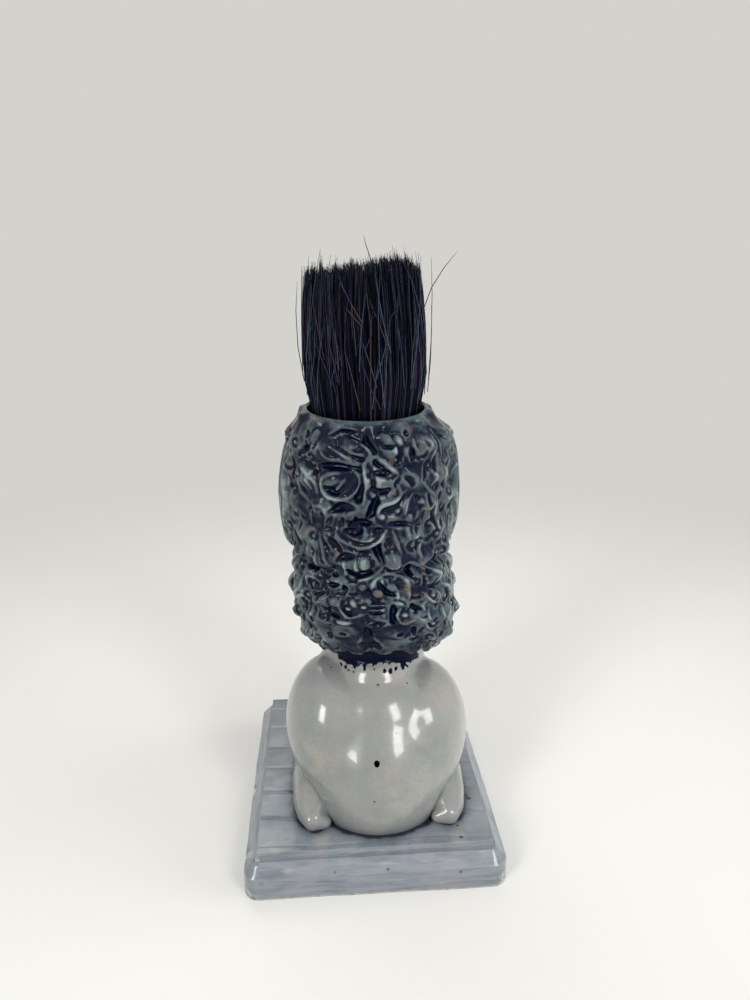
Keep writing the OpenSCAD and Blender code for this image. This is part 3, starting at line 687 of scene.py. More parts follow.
# Body: haunches, rump, back and chest melt together under the neck
body = {
    "columns": 220, "rows": 100, "voxel": 0.5, "smoothing": 24, "sharpness": 9, "top": slabTop + 36.5,
    # middle and half axes of each mass
    "masses": [
        ((bodyX + 11.8, 6.5, slabTop + 19.3), (11.8, 16, 17)),
        ((bodyX - 11.8, 6.5, slabTop + 16.9), (11.8, 16, 17)), ((bodyX, 13, slabTop + 7.6), (18.4, 18, 19)),
        ((bodyX, 6, slabTop + 18), (19, 19, 19)), ((bodyX, -8, slabTop + 21), (14.5, 11.5, 17)),
    ],
    # the middle from which the masses reach out, front to back at each height
    "spine": ((slabTop, 11), (slabTop + 18.5, 7), (slabTop + 36.5, 0)),
    "neck": (-1.6, -1.5), "neckRadius": 13.7, "neckLow": slabTop + 15, "neckHigh": 60.0,
    # the nape, where the neck runs out into the back
    "nape": ((-1.6, 4.5, 44.5), (11.0, 11.5, 6.5)),
}


def reachOf(mass, origin, along):
    # distance from each origin, level along its bearing, to the skin of an ellipsoid
    middle, halves = np.array(mass[0], float), np.array(mass[1], float)
    inside = 1 - ((origin[:, 2] - middle[2]) / halves[2]) ** 2
    start = (origin[:, :2] - middle[:2]) / halves[:2]
    step = along / halves[:2]
    a = (step ** 2).sum(1)
    b = (start * step).sum(1)
    disc = b * b - a * ((start ** 2).sum(1) - inside)
    return np.where(disc < 0, 0, np.maximum(0, (np.sqrt(np.maximum(disc, 0)) - b) / np.maximum(a, 1e-9)))


def makeBody(values):
    line = [(0, 0), *((mm, share) for share in np.linspace(0, 1, values["rows"])), (0, 1)]
    bm = spun(line, values["columns"])
    heights, spineY = zip(*values["spine"])
    cloud = np.array([vert.co for vert in bm.verts])
    z = slabTop - 1 + (values["top"] - slabTop + 1) * np.sin(cloud[:, 2] * math.pi / 2)
    origin = np.stack([np.full(len(z), bodyX), np.interp(z, heights, spineY), z], 1)
    length = np.hypot(cloud[:, 0], cloud[:, 1])
    along = cloud[:, :2] / np.maximum(length, 1e-9)[:, None]
    reach = sum(reachOf(mass, origin, along) ** values["sharpness"] for mass in values["masses"])
    reach = np.maximum(reach ** (1 / values["sharpness"]), 1) * (length > 0)
    origin[:, :2] += along * reach[:, None]
    for vert, point in zip(bm.verts, origin):
        vert.co = point * mm
    low, high = values["neckLow"], values["neckHigh"]
    addPost(bm, (*values["neck"], (low + high) / 2), values["neckRadius"], high - low, 96)
    addBlob(bm, *values["nape"])
    mesh = cutLevel(melt(bm, "body", values["voxel"], values["smoothing"]), "body", slabTop - 0.6)
    storeCreases(mesh)
    piece = addPiece("body", mesh, "vented", ["body"])

    drill = bmesh.new()
    spot = (vent["across"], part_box("body")[1].y / mm, slabTop + vent["height"])
    addPost(drill, spot, vent["radius"], 2 * vent["depth"], 24, turn=90)
    bit = show("vent drill", meshFrom(drill, "vent drill"))
    hole = piece.modifiers.new("vent", "BOOLEAN")
    hole.object = bit
    hole.operation = "DIFFERENCE"
    hole.solver = "EXACT"
    drilled = bpy.data.meshes.new_from_object(piece.evaluated_get(bpy.context.evaluated_depsgraph_get()))
    piece.modifiers.clear()
    piece.data = drilled
    bpy.data.objects.remove(bit)
    return piece


bodyPiece = makeBody(body)
print("body made:", len(bodyPiece.data.polygons), "faces")


# Black glaze that runs from the mane down over the back of the neck, with a ragged edge
neckCoat = {
    "low": 44.5, "high": 54.0, "behind": 0.0,  # the part of the body's skin it is made from
    "edge": 48.7, "arch": 1.8, "reach": 12.0, "left": 7.9, "right": -12.8, "steep": 0.2,
    "thick": 0.08, "under": 0.3, "wall": 0.25, "relief": 0.1,
    "waveSize": 5.0, "wave": 1.2, "ragSize": 1.1, "rag": 0.6, "splashRag": 0.25,  # how the edge wanders
    # splashes below the edge: place across, height and radius
    "splashes": [
        (7.4, 47.3, 0.3), (6.3, 47.2, 0.35), (5.5, 46.9, 0.25), (4.3, 46.9, 0.22), (1.6, 47.9, 0.3),
        (-0.8, 48.0, 0.25), (-3.4, 47.6, 0.5), (-4.9, 47.4, 0.55), (-6.4, 47.5, 0.4), (-8.4, 47.3, 0.3),
        (-10.6, 47.2, 0.35), (-12.2, 46.9, 0.3),
    ],
}


def makeNeckCoat(values, skin):
    bm = bmFrom(skin)
    rest = []
    for face in bm.faces:
        middle = face.calc_center_median() / mm
        if not values["low"] < middle.z < values["high"] or middle.y < values["behind"]:
            rest.append(face)
    bmesh.ops.delete(bm, geom=rest, context="FACES")
    bmesh.ops.subdivide_edges(bm, edges=bm.edges[:], cuts=1, use_grid_fill=True)
    bm.normal_update()
    # the coat stands proud of the skin where it covers, and dips under it beyond its edge
    moves = []
    for vert in bm.verts:
        spot = vert.co / mm
        x, z = spot.x, spot.z
        wide = noise.noise(spot / values["waveSize"]) * values["wave"]
        ragged = noise.fractal(spot / values["ragSize"], 0.6, 2.0, 4) * values["rag"]
        over = z + values["arch"] * (x / values["reach"]) ** 2 - values["edge"] + wide + ragged
        over = min(over, values["left"] - x + ragged, x - values["right"] + ragged)
        for across, height, radius in values["splashes"]:
            splash = radius - math.hypot(x - across, z - height) + ragged * values["splashRag"]
            over = max(over, splash)
        moves.append(vert.normal * max(-values["under"], min(values["thick"], over * values["steep"])) * mm)
    for vert, move in zip(bm.verts, moves):
        vert.co += move
    blank = show("neck coat", meshFrom(bm, "neck_coat"))
    shell = blank.modifiers.new("shell", "SOLIDIFY")
    shell.thickness = values["wall"] * mm
    shell.offset = -1
    mesh = baked(blank)
    storeMask(mesh, "relief", values["relief"])
    return addPiece("neck_coat", mesh, "thin", [])


coatPiece = makeNeckCoat(neckCoat, bodyPiece.data)
print("neck coat made:", len(coatPiece.data.polygons), "faces")


# Legs and feet, as rolled coils of clay. Places are from the body's middle and the slab's top, for the left
# side, and then come a radius or three half sizes.
legs = {
    "voxel": 0.4, "smoothing": 14, "coil": 7, "toeLength": 1.35,  # the last is in radii of the toe
    "foreleg": [
        (7.2, -15.5, 34, 5.0), (7.4, -19.0, 27, 4.9), (7.6, -21.6, 18, 4.4), (7.6, -23.6, 9, 4.0),
        (7.6, -25.0, 4, 4.2),
    ],
    "hindFoot": [
        (14.2, 25.6, 1.5, 1.8, 1.6, 1.7), (17.3, 25.8, 2.2, 2.2, 2.0, 2.9),
        (17.0, 22.5, 2.6, 4.4, 3.4, 4.7), (17.3, 18.0, 2.6, 5.0, 4.6, 6.7),
        (17.6, 11.5, 2.6, 5.2, 5.0, 7.7), (17.4, 4.0, 2.6, 5.2, 5.0, 5.7), (17.0, -5.0, 2.6, 5.0, 5.0, 4.5),
        (16.8, -10.5, 2.6, 5.2, 5.0, 4.6),
    ],
    # a flat place at the back of the heel: its direction and how far out it lies
    "facet": ((0.16, 0.57, 0.8), 18.5), "facetSoft": 0.5, "facetShare": 0.9, "heelMiddle": 16.8,
    # toes, from the middle of their foot
    "foreMiddle": 7.6,
    "foreToes": [
        (-3.0, -29.2, 1.7, 2.0), (-1.0, -30.6, 1.8, 2.1), (1.2, -30.6, 1.8, 2.1), (3.2, -29.2, 1.7, 2.0),
    ],
    "hindMiddle": 16.7,
    "hindToes": [
        (-2.8, -14.2, 1.8, 1.9), (-0.9, -15.4, 1.9, 2.0), (1.1, -15.4, 1.9, 2.0), (3.0, -14.2, 1.8, 1.9),
    ],
}


def makeLeg(name, values, kind, stations, side):
    bm = bmesh.new()
    rows = np.array(values[stations], float)
    coil = [start + (end - start) * share for start, end in zip(rows, rows[1:])
            for share in np.linspace(0, 1, values["coil"], endpoint=False)]
    for x, y, z, *halves in [*coil, rows[-1]]:
        halves = halves * 3 if len(halves) == 1 else halves
        addBlob(bm, (bodyX + side * x, y, slabTop + z), halves, detail=3)
    middle = bodyX + side * values[kind + "Middle"]
    for x, y, z, radius in values[kind + "Toes"]:
        halves = (radius, radius * values["toeLength"], radius)
        addBlob(bm, (middle + x, y, slabTop + z), halves, detail=3)
    mesh = cutLevel(melt(bm, name, values["voxel"], values["smoothing"]), name, slabTop - 0.5)
    if kind == "hind":
        points = readPoints(mesh)
        way = np.array(values["facet"][0]) * (side, 1, 1)
        way /= np.linalg.norm(way)
        heel = (bodyX + side * values["heelMiddle"], 0, slabTop)
        beyond = np.maximum((points - heel) @ way - values["facet"][1], 0)
        points -= way * (values["facetShare"] * beyond ** 2 / (beyond + values["facetSoft"]))[:, None]
        writePoints(mesh, points)
    storeCreases(mesh, strength=1.8)
    addPiece(name, mesh, "grey", [name])


for sideName, side in sides:
    makeLeg(sideName + "_foreleg", legs, "fore", "foreleg", side)
    makeLeg(sideName + "_hind_foot", legs, "hind", "hindFoot", side)
print("legs made")


# Face: brow, cheeks, muzzle and chin of clay, with glossy eyes and nose
face = {
    "middle": (-0.8, 0.0, seamHeight), "voxel": 0.3, "smoothing": 6,
    # middle, half axes and turn of each mass, from the head's middle at the seam
    "masses": [
        ((0, -17.5, 17), (9.6, 6.5, 9.5), (0, 0, 0)), ((0, -19.5, 23.5), (6.5, 3.8, 3.6), (20, 0, 0)),
        ((0, -22.5, 17.2), (5.4, 6.0, 4.6), (0, 0, 0)), ((0, -27.5, 14.6), (4.1, 6.4, 3.5), (8, 0, 0)),
        ((0, -30.6, 13.6), (3.7, 3.0, 3.0), (0, 0, 0)), ((2.3, -29.8, 12.3), (2.3, 3.6, 2.3), (0, 0, 12)),
        ((-2.3, -29.8, 12.3), (2.3, 3.6, 2.3), (0, 0, -12)), ((0, -28.2, 9.9), (2.7, 4.4, 1.5), (10, 0, 0)),
        ((5.3, -20.0, 13.5), (3.6, 4.2, 4.4), (0, 0, 0)), ((-5.3, -20.0, 13.5), (3.6, 4.2, 4.4), (0, 0, 0)),
    ],
    "eye": (4.5, -22.2, 20.3), "eyeHalves": (1.55, 1.395, 1.426), "eyeRelief": 0.12,
    # lids above and below each eye: lift and roll
    "lids": ((0.95, -14), (-1.0, 12)), "lidHalves": (2.1, 1.2, 0.5), "lidBack": 0.15, "lidTurn": -18,
    "nose": (0, -33.5, 14.8), "noseHalves": (2.5, 1.7, 1.8), "noseVoxel": 0.16, "noseRelief": 0.25,
    "noseSmoothing": 5, "noseFoot": (0, 0.4, -1.4), "noseFootHalves": (1.0, 1.2, 1.4),
    "nostril": (1.25, -34.9, 14.5), "nostrilRadius": 0.5, "nostrilDepth": 0.5,
}


def makeFace(values):
    middle = np.array(values["middle"])
    bm = bmesh.new()
    for spot, halves, turn in values["masses"]:
        addBlob(bm, middle + spot, halves, turn)
    x, y, z = values["eye"]
    for _, side in sides:
        for lift, roll in values["lids"]:
            spot = middle + (side * x, y + values["lidBack"], z + lift)
            addBlob(bm, spot, values["lidHalves"], (0, side * roll, side * values["lidTurn"]))
    mesh = melt(bm, "muzzle", values["voxel"], values["smoothing"])
    storeCreases(mesh, strength=2.2)
    addPiece("muzzle", mesh, "grey", ["muzzle"])

    for sideName, side in sides:
        bm = bmesh.new()
        addBlob(bm, middle + (side * x, y, z), values["eyeHalves"])
        mesh = meshFrom(bm, sideName + "_eye")
        storeMask(mesh, "relief", values["eyeRelief"])
        addPiece(sideName + "_eye", mesh, "black", [sideName + "_eye"])

    bm = bmesh.new()
    addBlob(bm, middle + values["nose"], values["noseHalves"])
    addBlob(bm, middle + np.add(values["nose"], values["noseFoot"]), values["noseFootHalves"])
    mesh = melt(bm, "nose", values["noseVoxel"], values["noseSmoothing"])
    points = readPoints(mesh)
    for _, side in sides:
        pit = np.linalg.norm(points - (middle + np.array(values["nostril"]) * (side, 1, 1)), axis=1)
        points[:, 1] += values["nostrilDepth"] * np.exp(-(pit / values["nostrilRadius"]) ** 2)
    writePoints(mesh, points)
    storeMask(mesh, "relief", values["noseRelief"])
    addPiece("nose", mesh, "black", ["nose"])


makeFace(face)
print("face made")


# Curls: one closed skin from under the mane up to the socket, which the seam then parts into mane and head.
# Hollows are pressed and strands rolled on it, one by one and by rule.
curls = {
    "columns": 528, "step": 0.26, "girth": 21.0,
    # height, middle, half width and half depth of the skin, from under the mane to the rim
    "skin": [
        (49.6, -3.2, 11.8, 11.8), (46.9, -3.3, 13.4, 14.4), (46.2, -3.4, 15.0, 17.0),
        (47.4, -3.3, 16.7, 19.0), (49.6, -2.9, 18.6, 20.2), (53.0, -2.6, 20.0, 20.8),
        (57.5, -2.4, 21.0, 21.1), (62.0, -1.8, 21.2, 21.1), (67.0, -1.4, 21.1, 20.7),
        (72.0, -1.3, 20.3, 19.8), (75.3, -1.1, 19.5, 18.6), (78.5, -0.9, 20.5, 18.7),
        (84.0, -0.6, 20.9, 18.6), (92.0, -0.8, 20.9, 18.6), (99.0, -1.0, 20.9, 18.6),
        (104.0, -0.9, 20.5, 18.3), (107.6, -0.5, 19.1, 17.6), (110.2, -0.1, 16.8, 16.3),
        (111.9, 0.0, 15.3, 15.2), (112.5, 0.0, 14.8, 14.8),
    ],
    "middleY": -1.5, "tilt": 0.42, "tiltTop": 75.5, "bore": 14.3, "boreFloor": 96.5,
    "lift": 0.25, "fadeIn": 3.0, "fadeOut": 2.2, "sharp": 0.62, "round": 0.62, "clear": 1.5,
    "waves": 70, "unevenness": 0.38,
    # lumps in staggered rows, as on the solids
    "lumpHeight": 1.2, "lumpCount": 14, "lumpRow": 7.0, "maneLow": 37.2, "headShift": 2.0,
    # rows of hollows round the sides and the front, down from the seam and up from it, as on the solids
    "maneRows": 6, "headRows": 7, "rowHeight": 4.2, "hollowCount": 26,
    "backFrom": 12, "backTo": 168, "length": 3.8, "width": 1.0, "depth": 1.3, "fineSpacing": 3.6,
    # how far such a hollow strays: round, up, in its lean, length, width and bend
    "stray": (0.18, 0.7, 45, 0.9, 0.2, 0.6),
    # how much fuller the hollows of the back are pressed, and how far the rim dips at the back
    "fuller": 1.2, "rimDip": 1.5, "dipFrom": 102.0, "dipOver": 10.5,
    "lobes": (46, 112, 58.5),  # at the nape: from and to which bearing, and up to which height
    "rimBand": 106.5,  # where the smooth band under the rim starts
    # how light the glaze is: at least, and for strands, ridges and lumps, where it runs thin and as painted
    # highlight; painted light at both sides; painted shade at the left, lighter to the right
    "light": (0.46, 0.45, 0.9, 0.15), "paintedLightSides": 0.15, "paintedShadeLeft": 0.05, "lightEdge": 0.7,
    # notch between mane and topknot: depth, how much deeper at the sides, and half height
    "notch": (0.35, 0.9, 1.1),
}


def throughPoints(points, step):
    # smooth curve through points, resampled evenly
    rows = np.array(points, float)
    padded = np.vstack([2 * rows[0] - rows[1], rows, 2 * rows[-1] - rows[-2]])
    fine = []
    for index in range(1, len(rows)):
        a, b, c, d = padded[index - 1:index + 3]
        share = np.linspace(0, 1, 24, endpoint=False)[:, None]
        bend = 2 * a - 5 * b + 4 * c - d + share * (3 * b - a - 3 * c + d)
        fine.append(b + 0.5 * share * (c - a + share * bend))
    fine = np.vstack([*fine, rows[-1:]])
    gone = np.concatenate([[0], np.cumsum(np.linalg.norm(np.diff(fine, axis=0), axis=1))])
    spots = np.linspace(0, gone[-1], int(gone[-1] / step) + 1)
    return np.stack([np.interp(spots, gone, fine[:, axis]) for axis in range(fine.shape[1])], 1)


def soften(field, passes):
    # rows end at the edges, and columns run on round the skin
    for _ in range(passes):
        field = (np.roll(field, 1, 1) + 2 * field + np.roll(field, -1, 1)) / 4
        field = (np.vstack([field[1:], field[-1:]]) + 2 * field + np.vstack([field[:1], field[:-1]])) / 4
    return field


def ringAt(distance, half):
    # 1 on a ring of that half width round a shape, from the distance to the shape's edge
    return np.clip(1 - np.abs(distance - half) / half, 0, 1)


class ClaySheet:
    # the skin of the curls rolled out flat: across is the way round and up is the way along the skin
    def __init__(self, rows, columns, across, up):
        self.rows, self.columns, self.across, self.up = rows, columns, across, up
        self.girth = columns * across
        self.ground = np.zeros((rows, columns))  # the skin before it is worked
        self.field = self.ground

    def near(self, path, reach):
        # the cells of the sheet round a path, and each one's distance to the path and share along it
        low, high = path.min(0) - reach, path.max(0) + reach
        columns = np.arange(int(low[0] // self.across), int(high[0] / self.across) + 2)
        rows = np.arange(max(0, int(low[1] / self.up)), min(self.rows, max(0, int(high[1] / self.up) + 2)))
        patch = np.ix_(rows, columns % self.columns)
        across, up = np.meshgrid(columns * self.across, rows * self.up)
        distance = np.full(across.shape, 1e9)
        along = np.zeros(across.shape)
        for index, (start, end) in enumerate(zip(path, path[1:])):
            step = end - start
            share = ((across - start[0]) * step[0] + (up - start[1]) * step[1]) / max(step @ step, 1e-9)
            share = np.clip(share, 0, 1)
            apart = np.hypot(across - start[0] - share * step[0], up - start[1] - share * step[1])
            along = np.where(apart < distance, (index + share) / (len(path) - 1), along)
            distance = np.minimum(distance, apart)
        return patch, distance, along

    def carve(self, points, width, depth, widths=(0.25, 1, 0.25)):
        # a hollow pressed along a path, with a soft rim; widths are its shares at the start, middle and end
        patch, distance, along = self.near(throughPoints(points, 0.5), width + 0.8)
        first, middle, last = widths
        shares = (first, (first + middle) / 2, middle, (middle + last) / 2, last)
        thick = width * np.interp(along, (0, 0.15, 0.5, 0.85, 1), shares)
        ratio = distance / thick
        ground, old = self.ground[patch], self.field[patch]
        floor = ground - depth * np.clip(1 - ratio ** 2, 0, 1) ** 0.55
        rim = 0.16 * ringAt(distance - thick, 0.45) * (old > ground - 0.3)
        self.field[patch] = np.where(ratio < 1, np.minimum(old, floor), old + rim)

    def roll(self, points, width, height, moat=0.45):
        # a rolled strand laid along a path, thinner at its ends
        patch, distance, along = self.near(throughPoints(points, 0.5), width + moat)
        thick = width * (1 - 0.65 * np.abs(2 * along - 1) ** 3)
        crown = np.clip(1 - (distance / thick) ** 2, 0, 1) ** 0.5
        ground, old = self.ground[patch], self.field[patch]
        old = old - 0.3 * ringAt(distance - thick, moat / 2) * (old > ground - 0.4)
        strand = ground - 0.35 + (height + 0.35) * crown
        self.field[patch] = np.where(distance < thick, np.maximum(strand, old), old)

    def press(self, middle, halves, height, turn=0.0, moat=0.6):
        # a smooth lump, with the clay round it pressed in
        patch = self.near(np.array([middle, middle], float), max(halves) + moat)[0]
        across, up = np.meshgrid(patch[1] * self.across - middle[0], patch[0] * self.up - middle[1])
        across = (across + self.girth / 2) % self.girth - self.girth / 2
        angle = math.radians(turn)
        first = (across * math.cos(angle) + up * math.sin(angle)) / halves[0]
        second = (up * math.cos(angle) - across * math.sin(angle)) / halves[1]
        ratio = np.hypot(first, second)
        ground, old = self.ground[patch], self.field[patch]
        old = old - 0.45 * ringAt((ratio - 1) * min(halves), moat / 2) * (old > ground - 0.5)
        dome = ground - 0.3 + (height + 0.3) * np.clip(1 - ratio ** 2, 0, 1) ** 0.5
        self.field[patch] = np.where(ratio < 1, np.maximum(dome, old), old)

    def hollow(self, middle, length, width, lean, bend, depth, drop=False):
        # one pressed hollow: level at a lean of 0, upright at 90, and a drop when one end is fat
        angle = math.radians(lean)
        run = np.array([math.cos(angle), math.sin(angle)]) * length / 2
        bow = np.array([-math.sin(angle), math.cos(angle)]) * bend
        points = [np.array(middle) + offset for offset in (-run, -bow, run)]
        self.carve(points, width, depth, (0.95, 0.8, 0.15) if drop else (0.3, 1, 0.3))

    def arc(self, middle, size, angles, width, depth, widths=(0.25, 1, 0.25), squash=1.0):
        # a groove that turns round a point
        away = np.stack([size * np.cos(angles), size * squash * np.sin(angles)], 1)
        self.carve(middle + away, width, depth, widths)

    def curl(self, middle, radius, start, hand, loops, width, depth):
        # a groove that winds in round a boss, as a wooden point draws it
        share = np.linspace(0, 1, max(6, int(12 * loops)))
        angles = math.radians(start) + hand * math.tau * loops * share
        self.arc(middle, radius * (1 - 0.45 * share), angles, width, depth, (0.3, 1, 0.75))
        self.press(middle, (radius * 0.38, radius * 0.4), 0.35, moat=0.3)


